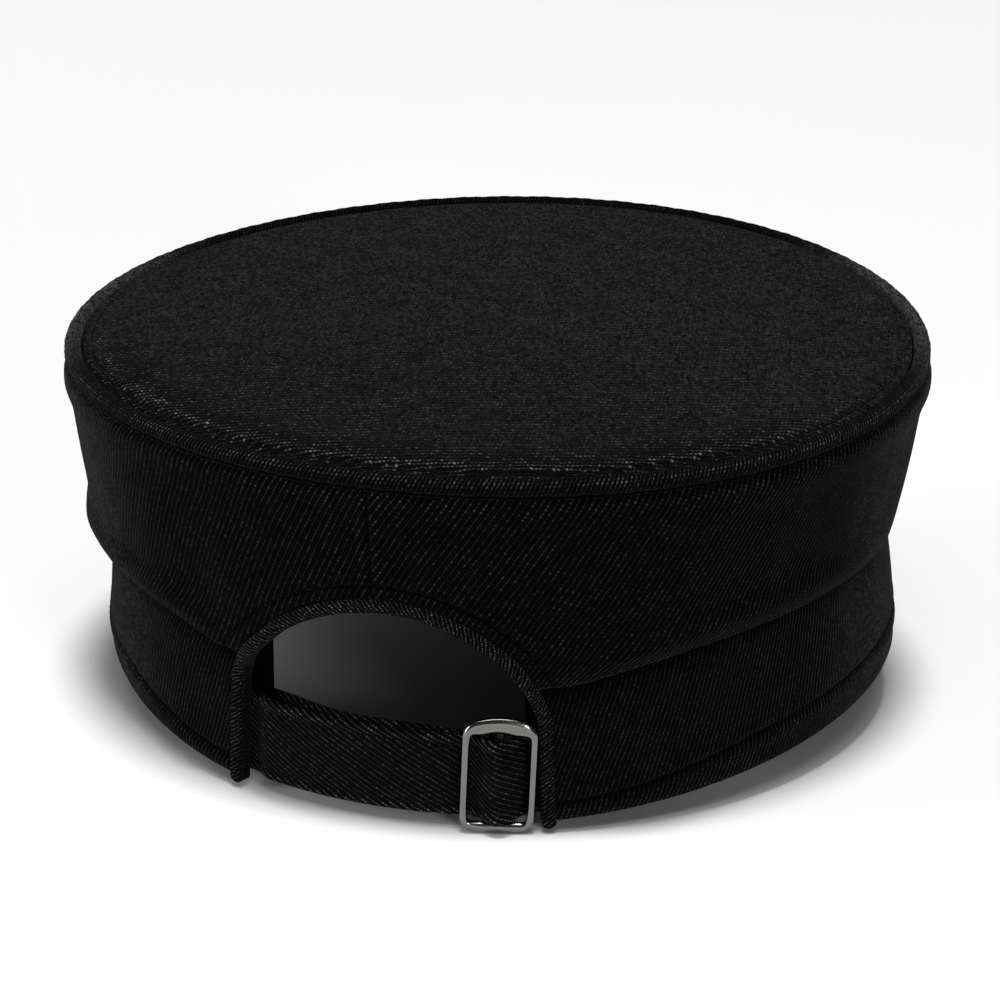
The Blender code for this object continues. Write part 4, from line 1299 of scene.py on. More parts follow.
    def build(self, shop: Workshop) -> None:
        """Make the crown side, its seams' stitches and the stitches along the arch."""
        form = shop.form
        margin = form.binding_width + self.binding_gap
        angles = form.ring_angles(margin, self.over_arch, self.elsewhere)
        seam = np.arange(-self.seam_columns, self.seam_columns + 1) * self.seam_step
        angles = np.sort(joined(angles[np.abs(angles) > seam[-1] + self.seam_step], seam))
        cut = np.clip(form.crown_share(angles, form.arch_height(angles, margin)), 0.0, 1.0)
        folded = 1.0 - ease(cut, 0.0, 0.05)
        roll = self.cut_roll + (form.fold_roll - self.cut_roll) * folded
        top = form.crown_top_share()
        rolled = cut + form.crown_share(angles, form.fold_height(angles) + roll)
        column = angles[:, None]
        step = 0.5 + 0.5 * np.cos(np.linspace(0.0, math.pi, self.wall_rows))[None]
        step = 0.65 * step + 0.35 * np.linspace(1.0, 0.0, self.wall_rows)[None]
        share = rolled[:, None] + (top - rolled[:, None]) * step
        plain = form.crown_side(column, share, 0.0)
        relief = self.relief(form, np.broadcast_to(column, share.shape), plain[..., 2])
        wall = form.crown_side(column, share, -relief)
        turn = np.linspace(0.0, 0.5 * math.pi, self.roll_rows + 1)[1:][None]
        under = cut[:, None] + (rolled - cut)[:, None] * (1 - np.sin(turn))
        inset = roll[:, None] * (1 - np.cos(turn)) - relief[:, -1:] * np.cos(turn)
        bend = form.crown_side(column, under, inset)
        seam = np.maximum(form.fold_overhang(angles) + form.fold_seam(angles), form.crown_wall)
        seam = (seam - form.crown_wall) * folded
        step = np.array(self.inner_steps)[None]
        inset = form.crown_wall + seam[:, None] * (1 - ease(step, 0.0, self.inner_steps[2]))
        inner = form.crown_side(column, cut[:, None] + (top - cut)[:, None] * step, inset)
        points = joined(wall, bend, inner, axis=1)
        worn = self.wall_wear_and_shade(form, column, plain[..., 2]) + 0.25 * bell(share - 1.0, 0.05)
        worn = worn + 0.5 * bell(share - rolled[:, None], 0.03) * folded[:, None]
        worn_roll = np.sin(turn * 1.6) * folded[:, None]
        wear = joined(worn, worn_roll, np.zeros(inner.shape[:2]), axis=1)
        # Painted sheen: nap with paler fibres on the flanks beside the line of sight
        nap = self.brushed * sheen_flank(angles)[:, None]
        cloth = Cloth(points, self.chart(form, wrapped(angles), points), wear, nap)
        shop.cloth("crown_side_panels", cloth, shop.finishes.crown, Slot.TWILL, "crown_side")
        self.sew(shop)

    def wall_wear_and_shade(self, form: CapForm, angle: Array, height: Array) -> Array:
        """Wear of the wall: rubbed beside the seam and under the rim, with painted shade in both grooves."""
        from_seam = self.from_seam(angle, height)
        below_rim = form.rim_ring(angle, 0.0, 0.0)[..., 2] - height
        from_edge = form.arch_distance(np.broadcast_to(angle, height.shape), height)
        rubbed = 0.45 * bell(from_seam - 1.3, 1.2) + 0.4 * bell(below_rim - 2.6, 2.2)
        # Painted shade: the mark goes below nought in the arch stitch groove and the centre back seam
        return rubbed - 0.9 * bell(from_edge - self.arch_stitch, 0.6) - 0.9 * bell(from_seam, 0.4)

    def on_wall(self, form: CapForm, angle: Array, height: Array, out: float) -> Array:
        """Point on the wall at an angle and height, standing out a little from the cloth."""
        share = form.crown_share(angle, height)
        return form.crown_side(angle, share, -self.relief(form, angle, height) - out)

    def sew(self, shop: Workshop) -> None:
        """Stitches down the centre back, along the arch and under the rim."""
        form = shop.form
        height = np.linspace(51.5, 73.0, 60)
        angle = self.seam_angle(height)
        fine = StitchRow(pitch=2.6, length=2.2, radius=0.1)
        line = self.on_wall(form, angle, height, 0.05)
        shop.stitches("back_seam_stitches", line, form.outward(angle), fine)
        edge_angle, edge_height = form.opening_edge(self.arch_stitch)
        over = edge_height > form.fold_height(edge_angle) + 1.5
        angle, height = edge_angle[over], edge_height[over]
        shop.stitches("arch_stitches", self.on_wall(form, angle, height, 0.02), form.outward(angle))
        height = form.rim_ring(QUARTER_DEGREES, -0.95, 0.0)[..., 2]
        line = self.on_wall(form, QUARTER_DEGREES, height, 0.0)
        shop.stitches("rim_stitches", line, form.outward(QUARTER_DEGREES))


@dataclass(frozen=True)
class Headband:
    """Lower band with a turned hem, from one arch leg round the front to the other."""

    columns: int = 760
    wall_rows: int = 46
    binding_gap: float = 0.15
    crease: float = 1.7
    hem_near: float = 4.2
    hem_far: float = 8.4
    hem_profile: tuple[Ridge, ...] = ((0.0, -1.1, 0.65), (-2.3, 0.5, 1.7), (1.8, 0.2, 1.2))
    # Strength of the nap on the flanks, which paints sheen there as well as fuzz
    brushed: float = 0.9
    inner_every: int = 5
    unevenness: tuple[Wave, ...] = (
        (0.22, 5.0, 1.2, 0.30), (0.16, 9.0, 2.2, 0.65), (0.10, 17.0, 1.5, 0.15),
    )

    def rows(self, form: CapForm, share: float) -> Pair:
        """Angles and heights of one row: its ends follow the slanting legs of the arch.

        Args:
            form: The cap's form.
            share: Share of the way from hem to fold.

        Returns:
            Angles and heights along the row.
        """
        margin = form.binding_width + self.binding_gap
        height = np.full(self.columns + 1, form.arch_spring * share)
        for _ in range(5):
            left = form.edge_angle(height, margin, Side.PLUS_X)
            right = form.edge_angle(height, margin, Side.MINUS_X)
            angles = left + np.linspace(0.0, 1.0, self.columns + 1) * (360.0 + right - left)
            low = form.hem_height(angles)
            height = low + (form.fold_height(angles) - form.sewn_gap - low) * share
        return angles, height

    def hem_line(self, angle: Array) -> Array:
        """Height of the hem's stitch line above the hem: less near the arch."""
        return self.hem_near + (self.hem_far - self.hem_near) * ease(np.abs(signed(angle)), 26.0, 62.0)

    def relief(self, form: CapForm, angle: Array, height: Array) -> Array:
        """Groove of the hem's stitches with a welt below it, and soft unevenness that fades to the edges."""
        above = height - form.hem_height(angle)
        from_line = above - self.hem_line(angle)
        groove = bells(from_line, self.hem_profile)
        pucker = 0.06 * np.sin(np.radians(angle) * 200 + above) * bell(from_line + 1.2, 1.6)
        below_fold = form.fold_height(angle) - height
        soft = waves(angle, height, self.unevenness) * ease(above, 3.0, 9.0) * ease(below_fold, 1.0, 7.0)
        return groove + pucker + soft - self.crease * bell(below_fold, 3.0)

    def out(self, form: CapForm, share: Values) -> Array:
        """Belly of the band's outer face: a full sine whose ends turn in at the cut edges."""
        share = np.asarray(share, dtype=float)
        edge = 0.35 * (bell(share, 0.02) + bell(share - 1.0, 0.02))
        return form.band_belly * np.sin(math.pi * share) ** 0.7 - edge

    def build(self, shop: Workshop) -> None:
        """Make the band and the stitches of its hem."""
        form = shop.form
        outer = 0.5 - 0.5 * np.cos(np.linspace(0.0, math.pi, self.wall_rows))
        outer = 0.4 * outer + 0.6 * np.linspace(0.0, 1.0, self.wall_rows)
        inner = outer[:: -self.inner_every]
        rings = []
        turns = []
        heights = []
        for share in (*outer, *inner):
            angles, height = self.rows(form, float(share))
            out = -form.band_wall
            if len(rings) < len(outer):
                out = self.out(form, share) + self.relief(form, angles, height) * self.fade(float(share))
            rings.append(form.hem_ring(angles, height, out - form.lean_in(angles) * share))
            turns.append(angles)
            heights.append(height)
        points = np.stack(rings, axis=1)
        turn = np.stack(turns, axis=1)
        height = np.stack(heights, axis=1)
        closed = joined(turn, turn[:, :1], axis=1)
        arc = form.arc(np.where(closed > 180.0, closed - 360.0, closed))
        arc = arc + np.where(closed > 180.0, self.girth(form), 0.0)
        up = across_length(points)
        above = height - form.hem_height(turn)
        from_line = above - self.hem_line(turn)
        wear = 0.5 * bell(above - 0.6, 0.9) + 0.25 * bell(from_line + 2.2, 1.6)
        # Painted shade: the mark goes below nought in the crease under the fold and in the hem's stitch
        # groove
        wear = wear - 1.0 * bell(form.fold_height(turn) - height, 4.0) - 0.9 * bell(from_line, 0.7)
        # Painted sheen: nap with paler fibres on the flanks beside the line of sight
        nap = self.brushed * sheen_flank(turn)
        cloth = Cloth(points, stack(arc, up), wear, nap, closed_round=False, capped=True)
        shop.cloth("lower_band", cloth, shop.finishes.band, Slot.TWILL, "headband")
        angle = np.linspace(26.5, 333.0, 1400)
        height = form.hem_height(angle) + self.hem_line(angle)
        share = (height - form.hem_height(angle)) / (form.fold_height(angle) - form.hem_height(angle))
        out = self.out(form, share) + self.relief(form, angle, height) - form.lean_in(angle) * share
        shop.stitches("hem_stitches", form.hem_ring(angle, height, out), form.outward(angle))

    @staticmethod
    def fade(share: float) -> float:
        """How much of the relief a row has: a flat sine that ends at the band's two edges."""
        return math.sin(math.pi * min(max(share, 0.0), 1.0)) ** 0.2

    @staticmethod
    def girth(form: CapForm) -> float:
        """Length once round the cap."""
        return float(np.diff(form.arc(np.array([-180.0, 180.0])))[0])


@dataclass(frozen=True)
class ArchBinding:
    """Rounded bias strip round the edge of the back opening."""

    steps: int = 520
    section: int = 22
    end_round: float = 1.5
    leg_points: int = 60
    arch_points: int = 300
    smoothed: int = 9
    millimetres_per_degree: float = 1.675

    def path(self, form: CapForm) -> Pair:
        """Middle line of the binding, up one leg, over the arch and down the other, as angles and heights."""
        middle = 0.5 * form.binding_width
        angles, heights = form.opening_edge(middle)
        foot = float(form.hem_height(form.arch_half_angle)) - form.binding_drop
        leg = np.linspace(foot, form.arch_spring, self.leg_points)[:-1]
        over = heights >= form.arch_spring
        line = stack(angles[over], heights[over])
        run = run_length(line)
        arch = sampled(line, run, np.linspace(0.0, run[-1], self.arch_points))
        left, right = (stack(form.edge_angle(leg, middle, side), leg) for side in Side)
        line = joined(left, arch, right[::-1])
        run = run_length(line * (self.millimetres_per_degree, 1.0))
        even = sampled(line, run, np.linspace(0.0, run[-1], self.steps))
        soft = np.hanning(self.smoothed) / np.hanning(self.smoothed).sum()
        padded = np.pad(even, ((self.smoothed // 2, self.smoothed // 2), (0, 0)), mode="edge")
        angle, height = (np.convolve(column, soft, mode="valid") for column in padded.T)
        return angle, height

    def build(self, shop: Workshop) -> None:
        """Make the binding: a half-round front on a flat tongue that reaches inside the cloth."""
        form = shop.form
        angles, heights = self.path(form)
        middle = form.hem_ring(angles, heights, form.shell_out(angles, heights))
        half = 0.5 * form.binding_width
        turn = np.linspace(math.pi, 0.0, self.section)
        bulge = stack(half * np.cos(turn), form.binding_proud * np.sin(turn) ** 0.75)
        depth = form.binding_depth()
        back = np.array([[half, -0.5 * depth], [half, -depth], [-half, -depth], [-half, -0.5 * depth]])
        profile = joined(bulge, back)
        run = run_length(middle)
        pucker = 1 + 0.10 * np.sin(run * 2.6)[:, None]
        section = np.broadcast_to(profile, (len(middle), *profile.shape)).copy()
        section[..., 1] = np.where(section[..., 1] > 0, section[..., 1] * pucker, section[..., 1])
        to_end = np.clip(np.minimum(run, run[-1] - run) / self.end_round, 0.0, 1.0)
        section[..., 0] *= np.sqrt(np.clip(1.0 - (1.0 - to_end) ** 2, 0.04, 1.0))[:, None]
        section[..., 1] -= (1.0 - to_end[:, None]) ** 2 * form.binding_proud * (section[..., 1] > 0)
        points = swept(middle, form.outward(angles), section)
        around = run_length(joined(profile, profile[:1]))
        wear = joined(0.35 + 0.65 * np.sin(turn), np.zeros(4))[None]
        cloth = Cloth(points, stack(run[:, None], around[None]), wear, closed_round=False, capped=True)
        shop.cloth("arch_edge_binding", cloth, shop.finishes.binding, Slot.TWILL, "arch_binding")


@dataclass(frozen=True)
class Lining:
    """Satin cup inside the crown, with soft slack folds down its wall."""

    over_arch: int = 150
    elsewhere: int = 330
    edge_share: float = 0.3
    leaves_fold: tuple[float, float] = (0.02, 0.3)
    corner_in: float = 1.5
    outer_rows: int = 8
    inner_rows: int = 34
    ceiling_rings: tuple[float, ...] = (0.04, 0.1, 0.2, 0.35, 0.55, 0.75)
    hole: float = 3.0
    slack: tuple[Wave, ...] = (
        (0.35, 6.0, 0.8, 0.2), (0.28, 11.0, 1.4, 0.6), (0.18, 23.0, 0.5, 0.9),
    )

    def close(self, form: CapForm) -> float:
        """Inset of the lining from the crown's outer face where it clears the binding."""
        return form.binding_depth() + form.sewn_gap

    def foot(self, form: CapForm, angle: Array) -> Array:
        """How far inside the hem oval the lining's lower edge lies."""
        return np.maximum(form.fold_seam(angle) + form.sewn_gap, self.close(form) - form.fold_overhang(angle))

    def skin(self, form: CapForm, top: TopPanel, angles: Array, depth: float, wall_rows: int) -> Array:
        """One skin of the cup: up the wall and in across the ceiling.

        Args:
            form: The cap's form.
            top: The top panel, whose underside the ceiling follows.
            angles: Column angles.
            depth: Depth of the skin behind the outer one.
            wall_rows: Rows up the wall.

        Returns:
            Grid of points, columns by rows.
        """
        margin = self.edge_share * form.binding_width
        cut = np.clip(form.crown_share(angles, form.arch_height(angles, margin)), 0.0, 1.0)
        cut = np.maximum(cut, form.crown_share(angles, form.fold_height(angles) + form.gap))[:, None]
        high = form.crown_top_share() - 2 * form.gap / form.rim_height
        foot = (form.fold_overhang(angles) + self.foot(form, angles))[:, None]
        step = np.linspace(0.0, 1.0, wall_rows)[None]
        share = cut + (high - cut) * step
        inset = self.close(form) + (foot - self.close(form)) * (1 - ease(share, *self.leaves_fold)) + depth
        wall = form.crown_side(angles[:, None], share, inset)
        if depth > 0:
            slack = np.maximum(waves(angles[:, None], wall[..., 2], self.slack) + 0.2, 0.0)
            slack = slack * ease(step, 0.0, 0.25) * (1 - ease(step, 0.75, 1.0))
            wall = form.crown_side(angles[:, None], share, inset + slack)
        reach = top.reach(form)
        rings = [share * reach for share in self.ceiling_rings]
        inward = np.array([self.corner_in + 0.3 * depth, *rings, reach - top.flat_radius, reach - self.hole])
        ceiling = top.surface(form, angles[:, None], inward[None], form.top_wall + form.sewn_gap + depth)
        return joined(wall, ceiling, axis=1)

    def build(self, shop: Workshop) -> None:
        """Make the lining."""
        form = shop.form
        angles = form.ring_angles(self.edge_share * form.binding_width, self.over_arch, self.elsewhere)
        top = TopPanel()
        outer = self.skin(form, top, angles, 0.0, self.outer_rows)
        inner = self.skin(form, top, angles, form.lining_wall, self.inner_rows)
        points = joined(outer[:, ::-1], inner, axis=1)
        up = run_length(points, axis=1)
        up = joined(up, up[:1])
        chart = stack(form.arc(wrapped(angles))[:, None], up)
        cloth = Cloth(points, chart, np.zeros((1, 1)), closed_across=False, poles=True)
        shop.cloth("satin_lining", cloth, shop.finishes.satin, Slot.SATIN, "lining")


@dataclass(frozen=True)
class Sweatband:
    """Satin band inside the lower band, whose two ends show inside the arch."""

    columns: int = 420
    wall: float = 1.2
    hem_gap: float = 2.0
    lap: float = 4.0
    half_angle: float = 20.0
    end_reach: tuple[float, float] = (30.0, 45.0)
    strap_thickness: float = 1.8
    outer_rows: int = 12
    inner_rows: int = 24

    def end_inset(self, form: CapForm) -> float:
        """Distance of the band's outer face inside the hem oval behind the arch legs."""
        return form.binding_depth() + form.gap + self.strap_thickness + form.sewn_gap

    def build(self, shop: Workshop) -> None:
        """Make the band: a thin wall whose section has rounded edges and a stitched upper hem."""
        form = shop.form
        angles = self.half_angle + np.linspace(0.0, 1.0, self.columns + 1) * (360.0 - 2 * self.half_angle)
        turn = np.abs(signed(angles))
        at_top = Lining().foot(form, angles) + form.lining_wall + form.sewn_gap
        at_hem = form.band_wall + form.sewn_gap
        at_end = 1 - ease(turn, *self.end_reach)
        low = form.hem_height(angles) + self.hem_gap
        high = form.fold_height(angles) + self.lap
        up, down = np.linspace(0.0, 1.0, self.outer_rows), np.linspace(1.0, 0.0, self.inner_rows)
        share = joined(up, down)
        deep = joined(0.18 * bell(up - 1.0, 0.02), np.ones(self.inner_rows))
        hemmed = joined(np.zeros(self.outer_rows), -0.25 * bell(down - 0.9, 0.03))
        loops = []
        for part, back, groove in zip(share, deep, hemmed):
            plain = at_hem + (at_top - at_hem) * part
            inset = plain + (self.end_inset(form) - plain) * at_end + self.wall * back + groove
            loops.append(form.hem_ring(angles, low + (high - low) * part, -inset))
        points = np.stack(loops, axis=1)
        up = across_length(points)
        along = run_length(points[:, 0])[:, None]
        cloth = Cloth(points, stack(along, up), np.zeros((1, 1)), closed_round=False, capped=True)
        shop.cloth("sweatband", cloth, shop.finishes.sweatband, Slot.SATIN, "inner_band")


@dataclass(frozen=True)
class BackStrap:
    """Adjusting strap: its front run through the slider and the run that comes back behind."""

    width: float = 20.0
    thickness: float = 1.8
    bottom: float = -2.6
    inset: float = 1.65
    bulge: float = 4.6
    end_angle: float = 27.0
    tuck: tuple[float, float] = (3.5, 0.4)
    tail_thickness: float = 1.5
    tail_space: float = 1.9
    tail_end: float = 26.0
    tail_leaves: tuple[float, float] = (5.0, 12.0)
    tail_tuck: float = 8.0
    tail_margin: float = 1.5
    slider_angle: float = -16.2
    window_width: float = 13.2
    pin_radius: float = 0.9
    edge_stitch: float = 2.6
    edge_round: float = 0.7
    steps: int = 300
    tail_steps: int = 200

    def middle_height(self) -> float:
        """Height of the strap's middle line."""
        return self.bottom + 0.5 * self.width

    def offset(self, form: CapForm, angle: Array) -> Array:
        """Distance of the front face inside the hem oval: deeper behind the legs of the arch."""
        tucked = form.binding_depth() + form.gap
        start, end = (form.arch_half_angle - before for before in self.tuck)
        return self.inset + (tucked - self.inset) * ease(np.abs(angle), start, end)

    def rise(self, form: CapForm, angle: Array) -> Array:
        """How far the strap stands out over the slider's pin: a raised cosine."""
        per_degree = math.radians(1.0) * 0.5 * (form.hem_half_width + form.hem_half_length)
        share = np.clip((angle - self.slider_angle) * per_degree / (0.5 * self.window_width), -1.0, 1.0)
        return self.bulge * 0.5 * (1 + np.cos(math.pi * share))

    def ribbon(self, thickness: float, count: int = 34) -> Pair:
        """Section of the strap with rolled edges and a stitch groove near each on the outer face.

        Args:
            thickness: Thickness of the cloth.
            count: Points across each face.

        Returns:
            Section points as distances across and out, and the wear of each.
        """
        turn = np.linspace(math.pi, 0.0, count)
        side = 0.5 * self.width * np.cos(turn)
        side = 0.5 * side + 0.25 * self.width * np.linspace(-1.0, 1.0, count)
        from_edge = 0.5 * self.width - np.abs(side)
        round_edge = quarter_round(from_edge, self.edge_round)
        front = 0.5 * thickness * round_edge - 0.32 * bell(from_edge - self.edge_stitch, 0.5)
        front = front + 0.14 * bell(from_edge - 1.3, 0.7)
        back = -0.5 * thickness * round_edge
        section = joined(stack(side, front), stack(side, back)[-2:0:-1])
        worn = bell(from_edge - 0.8, 1.1)
        return section, joined(worn, 0.3 * worn[-2:0:-1])

    def strip(self, shop: Workshop, name: str, node: str, angle: Array, out: Array, thickness: float) -> None:
        """One run of the strap along the hem oval, with its chart and its two rows of stitches."""
        form = shop.form
        middle = form.hem_ring(angle, self.middle_height(), out)
        normal = form.outward(angle)
        section, worn = self.ribbon(thickness)
        points = swept(middle, normal, section)
        run = run_length(middle)
        across = run_length(section)
        chart = stack(run[:, None], joined(across, across[-1:] + 0.3)[None])
        cloth = Cloth(points, chart, worn[None], closed_round=False, capped=True)
        shop.cloth(name, cloth, shop.finishes.strap, Slot.TWILL, node)
        for row, sign in (("upper", 1.0), ("lower", -1.0)):
            line = middle + normal * (0.5 * thickness - 0.24)
            line = line + np.array([0.0, 0.0, sign * (0.5 * self.width - self.edge_stitch)])
            shop.stitches(f"{name}_{row}_stitches", line, normal)

    def build(self, shop: Workshop) -> None:
        """Make both runs of the strap."""
        form = shop.form
        half = math.degrees(0.5 * self.window_width / form.hem_half_width)
        knots = [self.end_angle, self.slider_angle + half, self.slider_angle - half, -self.end_angle]
        share = [0.0, 0.5, 0.85, 1.0]
        angles = np.interp(np.linspace(0.0, 1.0, self.steps), share, knots)
        out = self.rise(form, angles) - self.offset(form, angles) - 0.5 * self.thickness
        self.strip(shop, "front_strap", "back_strap", angles, out, self.thickness)
        start = self.slider_angle + math.degrees(self.pin_radius / form.hem_half_width)
        angles = np.linspace(self.tail_end, start, self.tail_steps)
        front = self.inset + self.thickness
        sewn = front + form.gap
        free = front + self.tail_space
        band = Sweatband()
        tucked = band.end_inset(form) + band.wall + form.gap
        inset = sewn + (free - sewn) * ease(angles - self.slider_angle, *self.tail_leaves)
        inset = inset + (tucked - free) * ease(angles, self.tail_tuck, band.half_angle - self.tail_margin)
        out = -inset - 0.5 * self.tail_thickness
        self.strip(shop, "rear_strap", "strap_tail", angles, out, self.tail_thickness)


@dataclass(frozen=True)
class SliderBuckle:
    """Dark nickel slider: a rounded frame with wider, crowned end bars, and a pin behind the strap."""

    width: float = 16.8
    side_bar: float = 1.8
    top_bar: float = 2.4
    bottom_bar: float = 1.8
    slot_play: float = 0.6
    crowns: tuple[float, float] = (1.9, 1.0)
    corner: float = 3.0
    thickness: float = 2.0
    lean: float = 1.9
    steps: int = 360
    section: int = 28
    section_round: float = 9.0
    pin_points: int = 40
    pin_sides: int = 16

    def ring(self, width: float, height: float, corner: float, crowns: tuple[float, float]) -> Array:
        """Outline of a rounded rectangle with crowned ends, at even steps.

        Each side is a straight run and each corner a quarter circle. The rise of an end is the crown times
        one less the square of the share across, times the cube of the share up.

        Args:
            width: Full width.
            height: Full height without the crown.
            corner: Corner radius.
            crowns: Rise of the middle of the upper and the lower end.

        Returns:
            Points in the frame's plane.
        """
        turn = np.linspace(0.0, 0.5 * math.pi, 40)
        parts = []
        for quarter, (x, y) in enumerate(((1, 1), (-1, 1), (-1, -1), (1, -1))):
            angle = turn + 0.5 * math.pi * quarter
            middle = np.array([x * (0.5 * width - corner), y * (0.5 * height - corner)])
            parts.append(middle + corner * stack(np.cos(angle), np.sin(angle)))
        line = joined(*parts, parts[0][:1])
        run = run_length(line)
        outline = sampled(line, run, np.linspace(0.0, run[-1], self.steps, endpoint=False))
        crown = np.where(outline[:, 1] > 0, crowns[0], -crowns[1])
        share_up = np.minimum(np.abs(2 * outline[:, 1]) / height, 1.0)
        outline[:, 1] += crown * (1 - (2 * outline[:, 0] / width) ** 2) * share_up ** 3
        return outline

    def plane(self, form: CapForm, strap: BackStrap) -> Pair:
        """Middle and axes of the slider, leaning a little in its plane.

        Args:
            form: The cap's form.
            strap: The strap it sits on.

        Returns:
            The middle point and the three axes as rows: across, up and out.
        """
        out = form.outward(np.array(strap.slider_angle))
        up = np.array([0.0, 0.0, 1.0])
        side = np.cross(up, out)
        lean = math.radians(self.lean)
        leaned_up = up * math.cos(lean) + side * math.sin(lean)
        leaned_side = side * math.cos(lean) - up * math.sin(lean)
        height = strap.middle_height() + self.slot_play - form.sewn_gap
        middle = form.hem_ring(np.array(strap.slider_angle), height, form.gap - strap.inset)
        return middle, np.stack([leaned_side, leaned_up, out])

    def build(self, shop: Workshop) -> None:
        """Make the frame as one closed sweep between its inner and outer outlines, and the pin."""
        form = shop.form
        strap = BackStrap()
        middle, axes = self.plane(form, strap)
        inner_width = self.width - 2 * self.side_bar
        inner_height = strap.width + 2 * self.slot_play
        outer = self.ring(self.width, inner_height + self.top_bar + self.bottom_bar, self.corner, self.crowns)
        outer[:, 1] += 0.5 * (self.top_bar - self.bottom_bar)
        inner = self.ring(inner_width, inner_height, self.corner - self.side_bar, (0.0, 0.0))
        centre = 0.5 * (outer + inner)
        across = 0.5 * (outer - inner)
        section = superoval(2.0, 2.0, 2.1, self.section)
        depth = 0.5 * self.thickness * (1 + section[:, 1])
        flat = centre[:, None] + across[:, None] * section[None, :, :1]
        local = joined(flat, np.broadcast_to(depth[None, :, None], (*flat.shape[:2], 1)), axis=-1)
        points = middle + local @ axes
        run = run_length(joined(centre, centre[:1]))
        round_section = np.linspace(0.0, self.section_round, self.section + 1)
        worn = 0.6 * np.abs(section[:, 0] * section[:, 1])[None] ** 2
        frame = Cloth(points, stack(run[:, None], round_section[None]), worn)
        shop.cloth("slider_frame", frame, shop.finishes.nickel, Slot.METAL, "slider_buckle")
        reach = 0.5 * inner_height + 0.4 * self.bottom_bar
        path = np.linspace(-reach, reach, self.pin_points)
        line = middle + path[:, None] * axes[1] + 0.5 * self.thickness * axes[2]
        across = superoval(2 * strap.pin_radius, 2 * strap.pin_radius, 2.0, self.pin_sides)
        pin = swept(line, np.broadcast_to(axes[2], line.shape), across)
        around = 2 * math.pi * strap.pin_radius * np.linspace(0.0, 1.0, self.pin_sides + 1)
        cloth = Cloth(
            pin, stack(path[:, None], around[None]), np.zeros((1, 1)), closed_round=False, capped=True,
        )
        # The pin's near-black finish is painted shade
        shop.cloth("slider_pin", cloth, shop.finishes.pin_shade_nickel, Slot.METAL)


@dataclass(frozen=True)
class Peak:
    """Front peak, finished plainly: a stiff crescent with a turned edge and rows of stitches."""

    half_angle: float = 58.0
    width: float = 45.0
    thickness: float = 2.8
    slope: float = 14.3
    tuck: float = 1.6
    end_width: float = 3.0
    fullness: float = 2.0
    rounding: float = 1.1
    columns: int = 420
    rows: int = 46
    stitch_from_edge: tuple[float, ...] = (2.2, 8.0, 14.0, 20.0)
    stitch_from_hem: float = 3.0

    def widths(self, across: Array) -> Array:
        """Width of the crescent: full in the middle, on a power curve to its ends."""
        full = (1 - np.abs(across) ** self.fullness) ** self.rounding
        return self.tuck + self.end_width + (self.width - self.end_width) * full

    def upper(self, form: CapForm, across: Array, out: Array) -> Array:
        """Point of the upper face at a place along the peak and a distance out from the hem."""
        angles = 180.0 + self.half_angle * across
        drop = np.maximum(out, 0.0) * math.tan(math.radians(self.slope))
        return form.hem_ring(angles, form.hem_height(angles) - form.gap - drop, out)

    def build(self, shop: Workshop) -> None:
        """Make the peak and its rows of stitches."""
        form = shop.form
        across = np.linspace(-1.0, 1.0, self.columns + 1)
        width = self.widths(across)[:, None]
        share = np.linspace(0.0, 1.0, self.rows)
        share = (0.4 * share + 0.6 * np.sin(0.5 * math.pi * share))[None]
        out = width * share - self.tuck
        from_edge = width * (1 - share)
        edge = 0.5 * self.thickness * (1 - quarter_round(from_edge, 0.5 * self.thickness))
        groove = bells(from_edge, tuple((row, 0.3, 0.55) for row in self.stitch_from_edge)) * (out > 2.5)
        top = self.upper(form, across[:, None], out)
        bottom = top.copy()
        top[..., 2] -= edge + groove
        bottom[..., 2] -= self.thickness - edge
        points = joined(top, bottom[:, ::-1], axis=1)
        chart = joined(points, points[:, :1], axis=1)[..., :2]
        wear = joined(0.7 * bell(from_edge - 0.6, 0.9), 0.3 * bell(from_edge, 1.0)[:, ::-1], axis=1)
        cloth = Cloth(points, chart, wear, closed_round=False, capped=True)
        shop.cloth("front_peak", cloth, shop.finishes.peak, Slot.TWILL, "peak")
        slope = math.radians(self.slope)
        normal = np.array([0.0, -math.sin(slope), math.cos(slope)])
        for number, row in enumerate(self.stitch_from_edge):
            from_hem = width[:, 0] - self.tuck - row
            kept = from_hem > self.stitch_from_hem
            line = self.upper(form, across[kept], from_hem[kept])
            line[:, 2] -= 0.2
            shop.stitches(f"peak_stitches_{number}", line, np.broadcast_to(normal, line.shape))


def sky_way(azimuth: float, elevation: float) -> Vector:
    """Direction at an azimuth counted from -Y towards +X and at an elevation, both in degrees."""
    turn, climb = math.radians(azimuth), math.radians(elevation)
    return Vector((math.sin(turn) * math.cos(climb), -math.cos(turn) * math.cos(climb), math.sin(climb)))


@dataclass(frozen=True)
class SoftLight:
    """One soft area light aimed at the cap."""

    name: str
    azimuth: float
    elevation: float
    distance: float
    width: float
    height: float
    power: float

    def build(self, target: Vector) -> None:
        """Add the light: at its azimuth and elevation about the target, facing it."""
        way = sky_way(self.azimuth, self.elevation)
        light = bpy.data.lights.new(self.name, "AREA")
        light.shape = "RECTANGLE"
        light.size = self.width
        light.size_y = self.height
        light.energy = self.power
        lamp = bpy.data.objects.new(self.name, light)
        lamp.location = target + way * self.distance
        lamp.rotation_euler = way.to_track_quat("Z", "Y").to_euler()
        bpy.context.scene.collection.objects.link(lamp)


